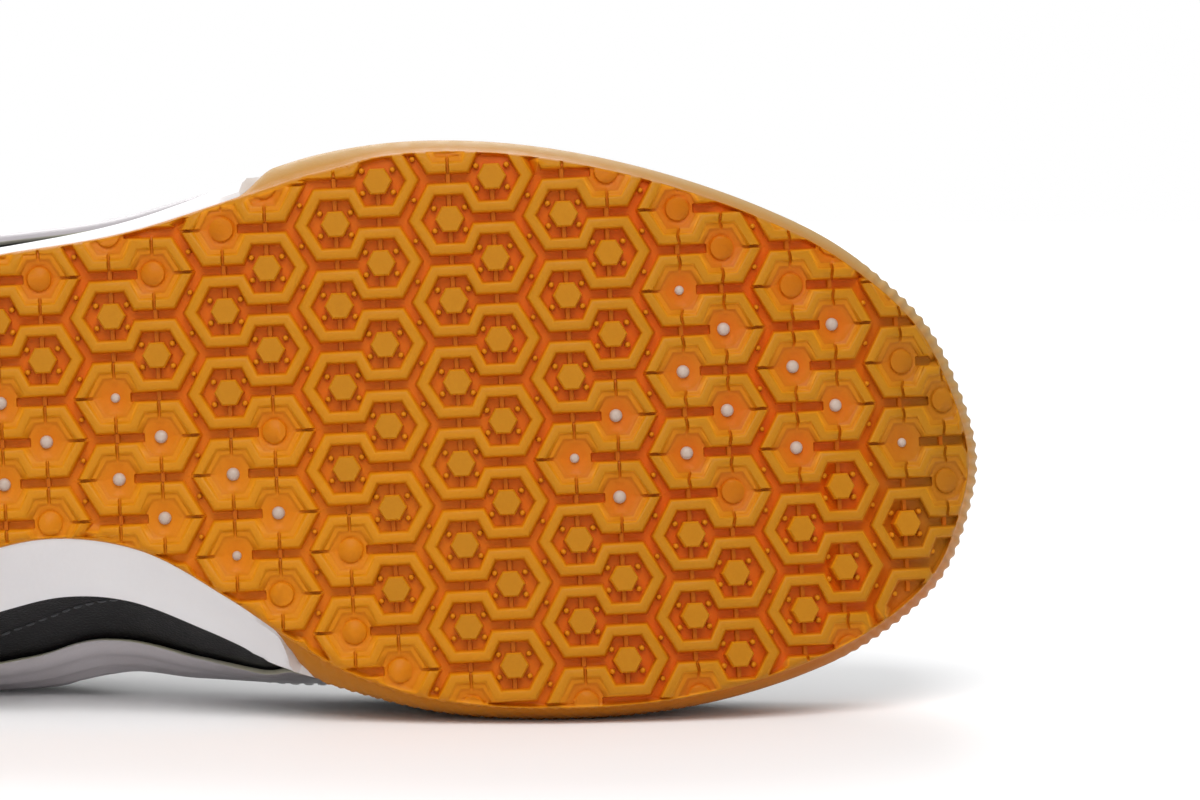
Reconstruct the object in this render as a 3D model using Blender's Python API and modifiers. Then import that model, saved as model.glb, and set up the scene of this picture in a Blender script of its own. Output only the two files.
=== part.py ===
"""Indoor football shoe for the right foot, lying on its medial side with the gum sole facing -Y.

The shoe is modelled upright in its own frame, in millimetres: X runs from the heel (0) to the toe,
Y is the medial side (+) or the lateral side (-), and Z rises from the ground line of the tread.
At the end an empty turns the whole shoe onto its medial side and sets it on the floor.
"""

import functools
import math
from typing import NamedTuple

import bmesh
import bpy
import numpy as np
from mathutils import Matrix, Vector
from mathutils.geometry import delaunay_2d_cdt

MM = 0.001  # model units are metres, the sizes below are millimetres

# Driving sizes
LENGTH = 290.0  # outsole, heel to toe
BALL_HALF = 52.5  # half the width of the sole at the ball
PLATE = 4.2  # gum plate, lug faces to its top
TREAD_DEPTH = 2.2  # groove floors above the lug faces
STACK_HEEL = 21.0  # top of the midsole at the heel, above the ground line
WALL_HEIGHT = 17.5  # top of the gum side wall in the forefoot
WALL = 2.4  # thickness of the gum side wall
WALL_LEAN = 0.9  # the side leans in this much from its widest line to its top
WIDEST = 0.35  # height of the side's widest line, as a share of the side
GAP = 0.3  # between pieces that touch
FLOOR_STEP = 0.6  # the cup's inner face ends this far in from the wall
FACET_ROOM = 0.3  # extra room where two curved faces have unlike facets
UPPER_WALL = 1.8  # thickness of the upper
INSTEP_HEIGHT = 84.0  # top of the throat above the ground line
OVERLAY = 1.1  # eyestay, counter and side bands
INSOLE = 3.5  # thickness of the insole
TONGUE = 4.0  # thickness of the tongue
TONGUE_RISE = 20.0  # tongue above the top of the throat
TONGUE_LEAN = 0.9  # how far it leans back for each unit of rise
LACE_WIDTH = 6.0
LACE_THICK = 1.3
EYELET_PAIRS = 6
BAND_FOOT = 13.0  # side band's lower edge, along the upper from the feather line
BAND_WIDTH = 13.0
EYESTAY_WIDTH = 12.0

# Tread pattern
CELL_ROW = 14.7  # spacing of the cells across the shoe
CELL_PAIR = 20.6  # spacing of the column pairs along the shoe
PAIR_STEP = 8.1  # from the left column of a pair to the right one
RING_OUTER = 6.1  # apothems of a ring lug
RING_INNER = 4.3
PAD_APOTHEM = 5.2  # apothem of a plain hexagonal lug
TREAD_RIM = 2.2  # plain border around the pattern
CELL_ANCHOR = (0.6797, -0.731)  # one left-column cell, shares of LENGTH and BALL_HALF

# Ground line
SPRING_START = 0.683  # share of LENGTH where the toe starts to rise
SPRING_ANGLE = math.radians(25.0)  # slope of the ground line at the toe tip
ARCH_RISE = 2.0
ARCH_SPAN = (0.28, 0.58)  # shares of LENGTH
HEEL_RISE = 1.5
HEEL_SPAN = 0.10

# Where the thin plate steps up into the gum wall, shares of LENGTH: start and end of the step
STEP = {-1: (0.543, 0.571), 1: (0.546, 0.590)}

# The sole's widest line, heel tip to toe tip, as shares of LENGTH and BALL_HALF
EDGE_LATERAL = [
    (0.000, 0.095), (0.007, -0.140), (0.028, -0.345), (0.062, -0.490), (0.114, -0.578), (0.200, -0.612),
    (0.300, -0.655), (0.400, -0.714), (0.476, -0.779), (0.552, -0.901), (0.600, -0.971), (0.655, -1.000),
    (0.724, -0.971), (0.800, -0.872), (0.872, -0.720), (0.921, -0.568), (0.969, -0.320), (0.991, -0.067),
    (1.000, 0.162),
]
EDGE_MEDIAL = [
    (0.000, 0.095), (0.007, 0.330), (0.028, 0.545), (0.062, 0.700), (0.110, 0.795), (0.155, 0.818),
    (0.205, 0.800), (0.300, 0.690), (0.390, 0.550), (0.428, 0.514), (0.466, 0.537), (0.514, 0.648),
    (0.562, 0.779), (0.610, 0.880), (0.662, 0.958), (0.734, 0.996), (0.810, 0.977), (0.883, 0.886),
    (0.934, 0.764), (0.974, 0.581), (0.994, 0.345), (1.000, 0.162),
]


class SoleRow(NamedTuple):
    """Insets from the widest line, shares of BALL_HALF, and heights, shares of STACK_HEEL or WALL_HEIGHT."""

    at: float  # share of LENGTH
    tread_lateral: float
    tread_medial: float
    plate_lateral: float
    plate_medial: float
    midsole_top: float
    wall_top: float


SOLE = [
    SoleRow(0.00, 0.085, 0.085, 0.045, 0.045, 1.00, 1.00),
    SoleRow(0.10, 0.080, 0.080, 0.042, 0.045, 1.00, 1.00),
    SoleRow(0.20, 0.075, 0.095, 0.038, 0.060, 0.98, 1.00),
    SoleRow(0.30, 0.070, 0.165, 0.036, 0.135, 0.91, 1.00),
    SoleRow(0.40, 0.068, 0.250, 0.036, 0.222, 0.80, 1.00),
    SoleRow(0.46, 0.072, 0.228, 0.045, 0.200, 0.73, 1.00),
    SoleRow(0.52, 0.090, 0.178, 0.055, 0.148, 0.67, 1.00),
    SoleRow(0.56, 0.118, 0.150, 0.060, 0.105, 0.64, 1.00),
    SoleRow(0.60, 0.112, 0.105, 0.060, 0.060, 0.62, 1.00),
    SoleRow(0.64, 0.072, 0.085, 0.042, 0.045, 0.62, 1.00),
    SoleRow(0.72, 0.057, 0.072, 0.036, 0.040, 0.62, 1.00),
    SoleRow(0.88, 0.057, 0.060, 0.036, 0.036, 0.62, 1.04),
    SoleRow(1.00, 0.057, 0.057, 0.036, 0.036, 0.64, 1.14),
]


class UpperRow(NamedTuple):
    """One section of the upper: bulge in shares of BALL_HALF, heights and ridge in shares of INSTEP_HEIGHT."""

    at: float  # share of LENGTH
    bulge_lateral: float  # outward from the widest line of the sole
    bulge_medial: float
    bulge_height: float
    edge_way: float  # how far the top edge lies on the way from the bulge to the ridge
    edge_height: float
    edge_tilt: float  # degrees, the rise of the surface where it ends
    ridge_at: float  # share of LENGTH
    ridge_side: float  # share of BALL_HALF


UPPER = [
    UpperRow(0.00, 0.028, 0.028, 0.52, 0.07, 0.820, 80, 0.145, 0.095),
    UpperRow(0.04, 0.030, -0.010, 0.54, 0.08, 0.805, 79, 0.150, 0.095),
    UpperRow(0.10, 0.034, -0.066, 0.56, 0.13, 0.750, 78, 0.165, 0.095),
    UpperRow(0.20, 0.040, -0.072, 0.57, 0.25, 0.690, 72, 0.215, 0.085),
    UpperRow(0.30, 0.034, 0.088, 0.56, 0.38, 0.780, 64, 0.302, 0.060),
    UpperRow(0.386, 0.010, 0.242, 0.53, 0.56, 0.975, 50, 0.386, 0.040),
    UpperRow(0.424, 0.000, 0.268, 0.51, 0.62, 0.935, 44, 0.424, 0.035),
    UpperRow(0.50, -0.020, 0.164, 0.48, 0.71, 0.845, 34, 0.500, 0.015),
    UpperRow(0.56, -0.042, 0.042, 0.45, 0.78, 0.775, 26, 0.560, 0.000),
    UpperRow(0.61, -0.056, -0.034, 0.43, 0.85, 0.725, 18, 0.610, -0.010),
    UpperRow(0.648, -0.058, -0.050, 0.41, 0.93, 0.690, 10, 0.648, -0.010),
    UpperRow(0.672, -0.058, -0.055, 0.40, 1.00, 0.668, 0, 0.672, -0.010),
    UpperRow(0.72, -0.060, -0.056, 0.38, 1.00, 0.620, 0, 0.718, -0.008),
    UpperRow(0.80, -0.060, -0.058, 0.35, 1.00, 0.545, 2, 0.790, 0.005),
    UpperRow(0.88, -0.060, -0.060, 0.33, 1.00, 0.480, 6, 0.848, 0.030),
    UpperRow(0.94, -0.060, -0.060, 0.315, 1.00, 0.445, 12, 0.880, 0.060),
    UpperRow(1.00, -0.060, -0.060, 0.31, 1.00, 0.430, 16, 0.893, 0.080),
]
THROAT_BACK = 0.386  # shares of LENGTH: top of the throat and its front end
THROAT_FRONT = 0.672
BAND_SPAN = (0.27, 0.60)
COUNTER_FRONT = 0.21
COUNTER_COLUMNS = 5
FOOT_CLEAR = 0.3  # share of the lowest strip that an overlay leaves open above the midsole
EYESTAY_FRONT = 0.715
STATION_SPACING = 11.0  # between the upper's sections

DENSITY = {"outsole": 1.10, "midsole": 0.22, "insole": 0.15, "tongue": 0.35, "laces": 0.6}  # g/cm3
LEATHER_DENSITY = 0.85

COLLECTION = "indoor_soccer_shoe"


def smooth(table, column, at):
    """Monotone cubic through one column of a table, so no value swings past its neighbours."""
    xs = [row.at for row in table]
    ys = [getattr(row, column) for row in table]
    at = min(max(at, xs[0]), xs[-1])
    slopes = [(ys[i + 1] - ys[i]) / (xs[i + 1] - xs[i]) for i in range(len(xs) - 1)]
    tangents = [slopes[0]]
    for before, after in zip(slopes, slopes[1:]):
        tangents.append(0.0 if before * after <= 0 else 2 * before * after / (before + after))
    tangents.append(slopes[-1])
    i = max(k for k in range(len(xs) - 1) if xs[k] <= at)
    span = xs[i + 1] - xs[i]
    s = (at - xs[i]) / span
    return (
        (1 + 2 * s) * (1 - s) ** 2 * ys[i]
        + s * (1 - s) ** 2 * span * tangents[i]
        + s * s * (3 - 2 * s) * ys[i + 1]
        + s * s * (s - 1) * span * tangents[i + 1]
    )


def ease(value, low, high):
    """0 below low, 1 above high, and a smooth step between."""
    s = min(max((value - low) / (high - low), 0.0), 1.0)
    return s * s * (3 - 2 * s)


def ground(x):
    """Height of the ground line: toe spring, arch and the heel's slight rise."""
    share = x / LENGTH
    rise = 0.0
    if share > SPRING_START:
        bend = SPRING_ANGLE / (LENGTH * (1 - SPRING_START))
        rise -= math.log(math.cos(min(bend * (x - SPRING_START * LENGTH), 1.2))) / bend
    if ARCH_SPAN[0] < share < ARCH_SPAN[1]:
        rise += ARCH_RISE * math.sin(math.pi * (share - ARCH_SPAN[0]) / (ARCH_SPAN[1] - ARCH_SPAN[0])) ** 2
    if share < HEEL_SPAN:
        rise += HEEL_RISE * (1 - share / HEEL_SPAN) ** 2
    return rise


def plan_x(along):
    """Plan position of a point that lies this far along the bent sole."""
    start = SPRING_START * LENGTH
    if along <= start:
        return along
    bend = SPRING_ANGLE / (LENGTH - start)
    turn = 2 * math.atan(math.tanh(bend * (along - start) / 2))
    return start + turn / bend


def lifted(points):
    """Points with the ground line added to their heights, in metres."""
    return [Vector((x, y, z + ground(x))) * MM for x, y, z in points]


def closed_spline(points, steps=24):
    """Centripetal spline through a closed loop of plan points."""
    count = len(points)
    curve = []
    for i in range(count):
        p = [np.array(points[(i + k) % count]) for k in (-1, 0, 1, 2)]
        knots = [0.0]
        for a, b in zip(p, p[1:]):
            knots.append(knots[-1] + math.sqrt(max(np.linalg.norm(b - a), 1e-6)))
        for step in range(steps):
            at = knots[1] + (knots[2] - knots[1]) * step / steps
            level = list(p)
            for width in (1, 2, 3):
                level = [
                    (level[k] * (knots[k + width] - at) + level[k + 1] * (at - knots[k]))
                    / (knots[k + width] - knots[k])
                    if width < 3
                    else level[0] * (knots[2] - at) / (knots[2] - knots[1])
                    + level[1] * (at - knots[1]) / (knots[2] - knots[1])
                    for k in range(4 - width)
                ]
            curve.append(level[0])
    return np.array(curve)


class Rim(NamedTuple):
    """A place on the sole's widest line."""

    x: float
    y: float
    out_x: float  # outward normal
    out_y: float
    side: int  # -1 lateral, 1 medial

    def moved(self, inset):
        return self.x - self.out_x * inset, self.y - self.out_y * inset


@functools.cache
def side_curve(side):
    """The widest line on one side, heel tip to toe tip, as a dense polyline."""
    lateral = [(x * LENGTH, y * BALL_HALF) for x, y in EDGE_LATERAL]
    medial = [(x * LENGTH, y * BALL_HALF) for x, y in EDGE_MEDIAL]
    near, far = (lateral, medial) if side < 0 else (medial, lateral)
    loop = closed_spline(near + far[-2:0:-1])
    toe = int(np.argmax(loop[:, 0]))
    return loop[: toe + 1]


def rims(stations, side):
    """The rim at each station along one side."""
    curve = side_curve(side)
    found = []
    for x in stations:
        x = min(max(x, curve[0, 0]), curve[-1, 0])
        i = int(np.clip(np.searchsorted(curve[:, 0], x), 1, len(curve) - 1))
        a, b = curve[i - 1], curve[i]
        share = (x - a[0]) / max(b[0] - a[0], 1e-9)
        along = curve[min(i + 1, len(curve) - 1)] - curve[max(i - 2, 0)]
        out = np.array([-along[1], along[0]]) * side / np.linalg.norm(along)
        point = a + (b - a) * share
        if x <= curve[0, 0] + 1e-6:
            out, point = np.array([-1.0, 0.0]), curve[0]
        if x >= curve[-1, 0] - 1e-6:
            out, point = np.array([1.0, 0.0]), curve[-1]
        found.append(Rim(float(point[0]), float(point[1]), float(out[0]), float(out[1]), side))
    return found


def end_stations(reach, count, toe=False):
    """Stations that crowd toward the heel tip, or toward the toe tip."""
    near = [reach * (1 - math.cos(0.5 * math.pi * i / count)) for i in range(count)]
    return sorted(LENGTH - x for x in near) if toe else near


def sole_stations():
    """Stations of the sole: crowded at the ends, and close together across the step."""
    reach = 0.12 * LENGTH
    step_from = (min(STEP[-1][0], STEP[1][0]) - 0.016) * LENGTH
    step_to = (max(STEP[-1][1], STEP[1][1]) + 0.008) * LENGTH
    waist = list(np.linspace(reach, step_from, 11))[:-1]
    step = list(np.linspace(step_from, step_to, 12))[:-1]
    ball = list(np.linspace(step_to, LENGTH - reach, 10))
    return end_stations(reach, 7) + waist + step + ball + end_stations(reach, 7, toe=True)


def upper_stations():
    """Stations of the upper: one on each line where an overlay or the throat ends, and even ones between."""
    reach = 0.12
    lines = [reach, COUNTER_FRONT, BAND_SPAN[0], THROAT_BACK, BAND_SPAN[1], THROAT_FRONT, EYESTAY_FRONT, 1 - reach]
    middle = []
    for near, far in zip(lines, lines[1:]):
        steps = max(1, round((far - near) * LENGTH / STATION_SPACING))
        middle += [LENGTH * (near + (far - near) * k / steps) for k in range(steps)]
    ends = end_stations(reach * LENGTH, 6), end_stations(reach * LENGTH, 6, toe=True)
    return ends[0] + middle + [LENGTH * (1 - reach)] + ends[1]


def column(name, side):
    return f"{name}_{'lateral' if side < 0 else 'medial'}"


def tread_inset(rim):
    return smooth(SOLE, column("tread", rim.side), rim.x / LENGTH) * BALL_HALF


def plate_inset(rim):
    return smooth(SOLE, column("plate", rim.side), rim.x / LENGTH) * BALL_HALF


def midsole_top(x):
    return smooth(SOLE, "midsole_top", x / LENGTH) * STACK_HEEL


def wall_rise(rim):
    """How far the gum wall has risen: 0 in the thin plate, 1 where it is a full wall."""
    low, high = STEP[rim.side]
    return ease(rim.x / LENGTH, low, high)


def wall_top(rim):
    full = smooth(SOLE, "wall_top", rim.x / LENGTH) * WALL_HEIGHT
    return PLATE + wall_rise(rim) * (full - PLATE)


def wall_inset(rim):
    """Inset of the side at its widest line: the plate's edge behind the step, the widest line ahead of it."""
    return plate_inset(rim) * (1 - wall_rise(rim))


def cup_inset(rim, height):
    """Inset of the gum wall's inner face at this height, where the wall is full."""
    full = smooth(SOLE, "wall_top", rim.x / LENGTH) * WALL_HEIGHT
    share = min(max((height - PLATE) / (full - PLATE), 0.0), 1.0)
    return WALL + share * WALL_LEAN + (1 - share) * (plate_inset(rim) + FLOOR_STEP)


def loop_of(stations):
    """The rims all the way round: heel tip, lateral side, toe tip, medial side back."""
    lateral, medial = rims(stations, -1), rims(stations, 1)
    return lateral + medial[-2:0:-1]


def ring_points(loop, inset, height):
    """A ring of points: inset and height are functions of a rim."""
    return [(*rim.moved(inset(rim)), height(rim)) for rim in loop]


def add_rings(bm, rings):
    """Vertices of each ring, and the quads between one ring and the next."""
    made = [[bm.verts.new(p) for p in lifted(ring)] for ring in rings]
    count = len(made[0])
    for lower, upper in zip(made, made[1:]):
        for i in range(count):
            k = (i + 1) % count
            bm.faces.new((lower[i], lower[k], upper[k], upper[i]))
    return made


def add_ladder(bm, ring, upward):
    """Closes a ring with quads from each lateral point to the medial one across from it."""
    count = len(ring)
    half = count // 2
    for i in range(half):
        a, b = ring[i], ring[i + 1]
        c, d = ring[(count - i - 1) % count], ring[(count - i) % count]
        corners = [a, b, c, d] if upward else [d, c, b, a]
        bm.faces.new(list(dict.fromkeys(corners)))


def finished(name, bm, material):
    """The mesh as an object in the shoe's collection, its faces turned outward."""
    bmesh.ops.remove_doubles(bm, verts=bm.verts, dist=2e-6)
    bmesh.ops.recalc_face_normals(bm, faces=bm.faces)
    mesh = bpy.data.meshes.new(name)
    bm.to_mesh(mesh)
    bm.free()
    mesh.materials.append(material)
    obj = bpy.data.objects.new(name, mesh)
    bpy.data.collections[COLLECTION].objects.link(obj)
    return obj


def hexagon(centre, apothem):
    """Hexagon with corners fore and aft, its plan bent with the toe spring."""
    radius = apothem / math.cos(math.pi / 6)
    corners = []
    for k in range(6):
        along = centre[0] + radius * math.cos(math.pi / 3 * k)
        corners.append((plan_x(along), centre[1] + radius * math.sin(math.pi / 3 * k)))
    return corners


def inside(point, polygon):
    """Whether a plan point lies in a polygon."""
    x, y = point
    odd = False
    for (ax, ay), (bx, by) in zip(polygon, polygon[1:] + polygon[:1]):
        if (ay > y) != (by > y) and x < (bx - ax) * (y - ay) / (by - ay) + ax:
            odd = not odd
    return odd


def edge_distance(point, polygon):
    """Distance from a plan point to a polygon's outline."""
    best = 1e9
    q = np.array(point)
    for a, b in zip(polygon, polygon[1:] + polygon[:1]):
        a, b = np.array(a), np.array(b)
        share = np.clip(np.dot(q - a, b - a) / max(np.dot(b - a, b - a), 1e-9), 0, 1)
        best = min(best, float(np.linalg.norm(q - a - (b - a) * share)))
    return best


def cells(border):
    """Every tread cell that reaches inside the border: its column pair, row, side of the pair and centre."""
    anchor_x, anchor_y = CELL_ANCHOR[0] * LENGTH, CELL_ANCHOR[1] * BALL_HALF
    found = []
    for pair in range(-int(anchor_x // CELL_PAIR) - 2, int(LENGTH // CELL_PAIR)):
        for right in (0, 1):
            for row in range(-4, int(3 * BALL_HALF // CELL_ROW)):
                along = anchor_x + pair * CELL_PAIR + right * PAIR_STEP
                across = anchor_y + (row + 0.5 * right) * CELL_ROW
                spot = (plan_x(along), across)
                room = edge_distance(spot, border) * (1 if inside(spot, border) else -1)
                if room > -0.4 * PAD_APOTHEM:
                    found.append((pair, row, right, (along, across), room))
    return found


def is_ring(pair, row, right, room):
    """Ring lugs cover the outer forefoot and the heel. The arch, the toe and the lateral waist have plain lugs."""
    if room < 0.75 * RING_OUTER:
        return False
    if pair <= -7:
        return row in (1, 2, 3, 4)
    if pair <= -3:
        return row == 1
    if pair == -2:
        return row <= 2 and not (right and row == 2) and not (row == 0 and not right)
    if pair <= 1:
        return not (pair == 1 and ((right and row in (2, 3)) or (row == 3 and not right))) and not (
            pair == -1 and not right and row >= 4
        )
    return row >= 4 or (pair == 3 and right and row == 3)


def triangulated(shapes, edge_points=()):
    """Plan triangles inside these polygons, each with the numbers of the polygons that hold it."""
    points, faces = [], []
    for shape in shapes:
        faces.append(list(range(len(points), len(points) + len(shape))))
        points += [Vector(p) for p in shape]
    edges = []
    for a, b in edge_points:
        edges.append((len(points), len(points) + 1))
        points += [Vector(a), Vector(b)]
    verts, _, triangles, _, _, sources = delaunay_2d_cdt(points, edges, faces, 1, 1e-4)
    spots = [(round(v.x, 4), round(v.y, 4)) for v in verts]
    return [([spots[i] for i in t], set(s)) for t, s in zip(triangles, sources)]


def triangle_edges(corners):
    return [tuple(sorted(pair)) for pair in zip(corners, corners[1:] + corners[:1])]


def tread_plan(loop):
    """The underside in plan: each triangle, and whether it is a lug face or border instead of a groove floor."""
    outline = [rim.moved(tread_inset(rim)) for rim in loop]
    border = [rim.moved(tread_inset(rim) + TREAD_RIM) for rim in loop]
    outers, inners = [], []
    for pair, row, right, centre, room in cells(border):
        ring = is_ring(pair, row, right, room)
        outers.append(hexagon(centre, RING_OUTER if ring else PAD_APOTHEM))
        if ring:
            inners.append(hexagon(centre, RING_INNER))
    first_pit = 1 + len(outers)
    field, used = [], {}
    for corners, held in triangulated([border] + outers + inners):
        if 0 not in held:
            continue
        pit = any(number >= first_pit for number in held)
        lug = any(0 < number < first_pit for number in held)
        field.append((corners, lug and not pit))
        for edge in triangle_edges(corners):
            used[edge] = used.get(edge, 0) + 1
    rim_edges = [edge for edge, count in used.items() if count == 1]
    for corners, _ in triangulated([outline], rim_edges):
        middle = (sum(c[0] for c in corners) / 3, sum(c[1] for c in corners) / 3)
        if not inside(middle, border):
            field.append((corners, True))
    return field


def add_tread(bm, loop):
    """The underside: lugs and border at the ground line, groove floors above it, upright walls between."""
    made = {}

    def vertex(spot, low):
        if (spot, low) not in made:
            made[spot, low] = bm.verts.new(lifted([(*spot, 0.0 if low else TREAD_DEPTH)])[0])
        return made[spot, low]

    owners = {}
    for corners, low in tread_plan(loop):
        if len(set(corners)) < 3:
            continue
        bm.faces.new([vertex(spot, low) for spot in corners])
        for edge in triangle_edges(corners):
            owners.setdefault(edge, []).append(low)
    for (a, b), lows in owners.items():
        if len(lows) == 2 and lows[0] != lows[1]:
            bm.faces.new((vertex(a, True), vertex(b, True), vertex(b, False), vertex(a, False)))


def build_outsole(material):
    """Gum cup: thin plate with the tread, and the side wall that steps up ahead of the waist."""
    loop = loop_of(sole_stations())
    bm = bmesh.new()
    rings = add_rings(
        bm,
        [
            ring_points(loop, tread_inset, lambda rim: 0.0),
            ring_points(
                loop,
                lambda rim: 0.35 * tread_inset(rim) + 0.65 * plate_inset(rim),
                lambda rim: 0.3 * PLATE,
            ),
            ring_points(loop, lambda rim: plate_inset(rim) + 0.2, lambda rim: 0.6 * PLATE),
            ring_points(loop, wall_inset, lambda rim: 0.9 * PLATE + WIDEST * (wall_top(rim) - PLATE)),
            ring_points(loop, lambda rim: wall_inset(rim) + WALL_LEAN * wall_rise(rim), wall_top),
            ring_points(loop, lambda rim: wall_inset(rim) + WALL_LEAN * wall_rise(rim) + WALL, wall_top),
            ring_points(loop, lambda rim: plate_inset(rim) + WALL + FLOOR_STEP, lambda rim: PLATE),
        ],
    )
    add_ladder(bm, rings[-1], upward=True)
    add_tread(bm, loop)
    return finished("outsole", bm, material)


def build_midsole(material):
    """Foam wedge: it fills the gum cup in front and stands free above the thin plate behind the step."""
    loop = loop_of(sole_stations())

    def line(rim, height):
        share = (height - PLATE) / (midsole_top(rim.x) - PLATE)
        widest = WIDEST + (1 - WIDEST) * ease(plate_inset(rim), 3.0, 7.0)
        lean = WALL_LEAN * (1 - ease(plate_inset(rim), 3.0, 7.0)) * max(share - widest, 0.0)
        return plate_inset(rim) * max(1 - share / widest, 0.0) ** 0.85 + lean

    def step_height(rim):
        return min(max(wall_top(rim) + GAP, PLATE + GAP + 0.6), midsole_top(rim.x) - 1.4)

    def inset(rim, height, tucked):
        return line(rim, height) * (1 - tucked) + (cup_inset(rim, height) + GAP) * tucked

    def low_tuck(rim):
        start = STEP[rim.side][0]
        return ease(rim.x / LENGTH, start - 0.014, start - 0.001)

    def high_tuck(rim):
        return ease(wall_rise(rim), 0.1, 0.4)

    def ring(height, tuck, bulge=0.0):
        return ring_points(
            loop,
            lambda rim: inset(rim, height(rim), tuck(rim)) - bulge * (1 - tuck(rim)),
            height,
        )

    bm = bmesh.new()
    rings = add_rings(
        bm,
        [
            ring(lambda rim: PLATE + GAP, low_tuck),
            ring(step_height, low_tuck),
            ring(lambda rim: step_height(rim) + GAP, high_tuck),
            ring(lambda rim: 0.55 * midsole_top(rim.x) + 0.45 * (step_height(rim) + GAP), high_tuck, -0.5),
            ring(lambda rim: midsole_top(rim.x), high_tuck),
        ],
    )
    add_ladder(bm, rings[0], upward=False)
    add_ladder(bm, rings[-1], upward=True)
    return finished("midsole", bm, material)


def feather_inset(rim):
    """Where the upper meets the midsole: inside the cup in front, near the midsole's edge behind."""
    tucked = ease(wall_rise(rim), 0.0, 0.35)
    return 1.3 * (1 - tucked) + (cup_inset(rim, midsole_top(rim.x)) + GAP + 1.5 * FACET_ROOM) * tucked


def bezier(a, b, c, d, count):
    share = np.linspace(0, 1, count)[:, None]
    return (1 - share) ** 3 * a + 3 * share * (1 - share) ** 2 * b + 3 * share**2 * (1 - share) * c + share**3 * d


def upper_curve(rim):
    """The upper's outer line over one rim: feather, bulge, then the throat edge, collar or ridge."""
    at = rim.x / LENGTH

    def value(name):
        return smooth(UPPER, name, at)

    up = np.array([0.0, 0.0, 1.0])
    feather = np.array([*rim.moved(feather_inset(rim)), midsole_top(rim.x) + GAP])
    bulge_out = value(column("bulge", rim.side)) * BALL_HALF
    bulge = np.array([*rim.moved(-bulge_out), value("bulge_height") * INSTEP_HEIGHT])
    ridge = np.array([value("ridge_at") * LENGTH, value("ridge_side") * BALL_HALF])
    way = value("edge_way")
    edge = np.array([*(bulge[:2] + (ridge - bulge[:2]) * way), value("edge_height") * INSTEP_HEIGHT])
    inward = np.array([*(ridge - bulge[:2]), 0.0])
    inward /= np.linalg.norm(inward)
    tilt = math.radians(value("edge_tilt"))
    end = inward * math.cos(tilt) + up * math.sin(tilt)
    start = bulge - feather + up * 0.35 * np.linalg.norm(bulge - feather)
    start /= np.linalg.norm(start)
    low = np.linalg.norm(bulge - feather)
    rise, across = edge[2] - bulge[2], np.linalg.norm(edge[:2] - bulge[:2])
    lower = bezier(feather, feather + start * 0.36 * low, bulge - up * 0.36 * low, bulge, 16)
    reach = 0.55 * across * math.cos(tilt) + 0.42 * rise * math.sin(tilt)
    upper = bezier(bulge, bulge + up * 0.56 * rise, edge - end * reach, edge, 24)
    return np.vstack([lower, upper[1:]])


def arc_lengths(line):
    return np.concatenate([[0.0], np.cumsum(np.linalg.norm(np.diff(line, axis=0), axis=1))])


def along(line, distances):
    """Points at these distances along a polyline."""
    arcs = arc_lengths(line)
    return np.stack([np.interp(distances, arcs, line[:, k]) for k in range(3)], axis=1)


def upper_columns(length):
    """Distances up the upper from the feather line: side band, quarter, then the eyestay."""
    low = [
        min(BAND_FOOT * 0.5, 0.15 * length),
        min(BAND_FOOT, 0.30 * length),
        min(BAND_FOOT + BAND_WIDTH * 0.5, 0.44 * length),
        min(BAND_FOOT + BAND_WIDTH, 0.58 * length),
    ]
    eyestay = length - min(EYESTAY_WIDTH, 0.2 * length)
    return [0.0, *low, low[-1] + (eyestay - low[-1]) * 0.5, eyestay, 0.5 * (eyestay + length), length]


def upper_grid(side, stations):
    """The upper's outer surface on one side, a row of points for each station."""
    rows = []
    for rim in rims(stations, side):
        line = upper_curve(rim)
        rows.append(along(line, upper_columns(arc_lengths(line)[-1])))
    return np.array(rows)


class UpperSurface:
    """The upper's outer surface on both sides, with its normals."""

    def __init__(self):
        self.stations = upper_stations()
        self.grids = {side: upper_grid(side, self.stations) for side in (-1, 1)}
        self.normals = {side: self.grid_normals(side) for side in (-1, 1)}
        self.share_seam_normals()

    def grid_normals(self, side):
        grid = self.grids[side]
        forward = np.gradient(grid, axis=0)
        upward = np.gradient(grid, axis=1)
        forward[0] = forward[-1] = 0.0
        forward[0, :, 1] = forward[-1, :, 1] = 1.0 * side
        forward[-1, :, 1] *= -1
        normal = np.cross(forward, upward) * -side
        return normal / np.linalg.norm(normal, axis=2, keepdims=True)

    def share_seam_normals(self):
        """Where the two sides meet, at heel, toe and ridge, both take the mean of their normals."""
        lateral, medial = self.normals[-1], self.normals[1]
        seam = np.zeros(lateral.shape[:2], bool)
        seam[0] = seam[-1] = True
        seam[[x / LENGTH >= THROAT_FRONT - 1e-6 for x in self.stations], -1] = True
        mean = lateral[seam] + medial[seam]
        mean /= np.linalg.norm(mean, axis=1, keepdims=True)
        lateral[seam] = medial[seam] = mean

    def block(self, side, rows, columns, offset):
        """Part of the surface, moved outward."""
        area = np.ix_(rows, columns)
        points = self.grids[side][area] + self.normals[side][area] * offset
        if columns[0] == 0:  # clear of the midsole's edge
            points[:, 0] += (points[:, 1] - points[:, 0]) * FOOT_CLEAR
        return points


def add_sheet(bm, points, flip):
    """A grid of points as quads."""
    rows, columns = points.shape[:2]
    verts = [[bm.verts.new(p) for p in lifted(row)] for row in points]
    for i in range(rows - 1):
        for k in range(columns - 1):
            corners = [verts[i][k], verts[i + 1][k], verts[i + 1][k + 1], verts[i][k + 1]]
            bm.faces.new(corners[::-1] if flip else corners)


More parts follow.
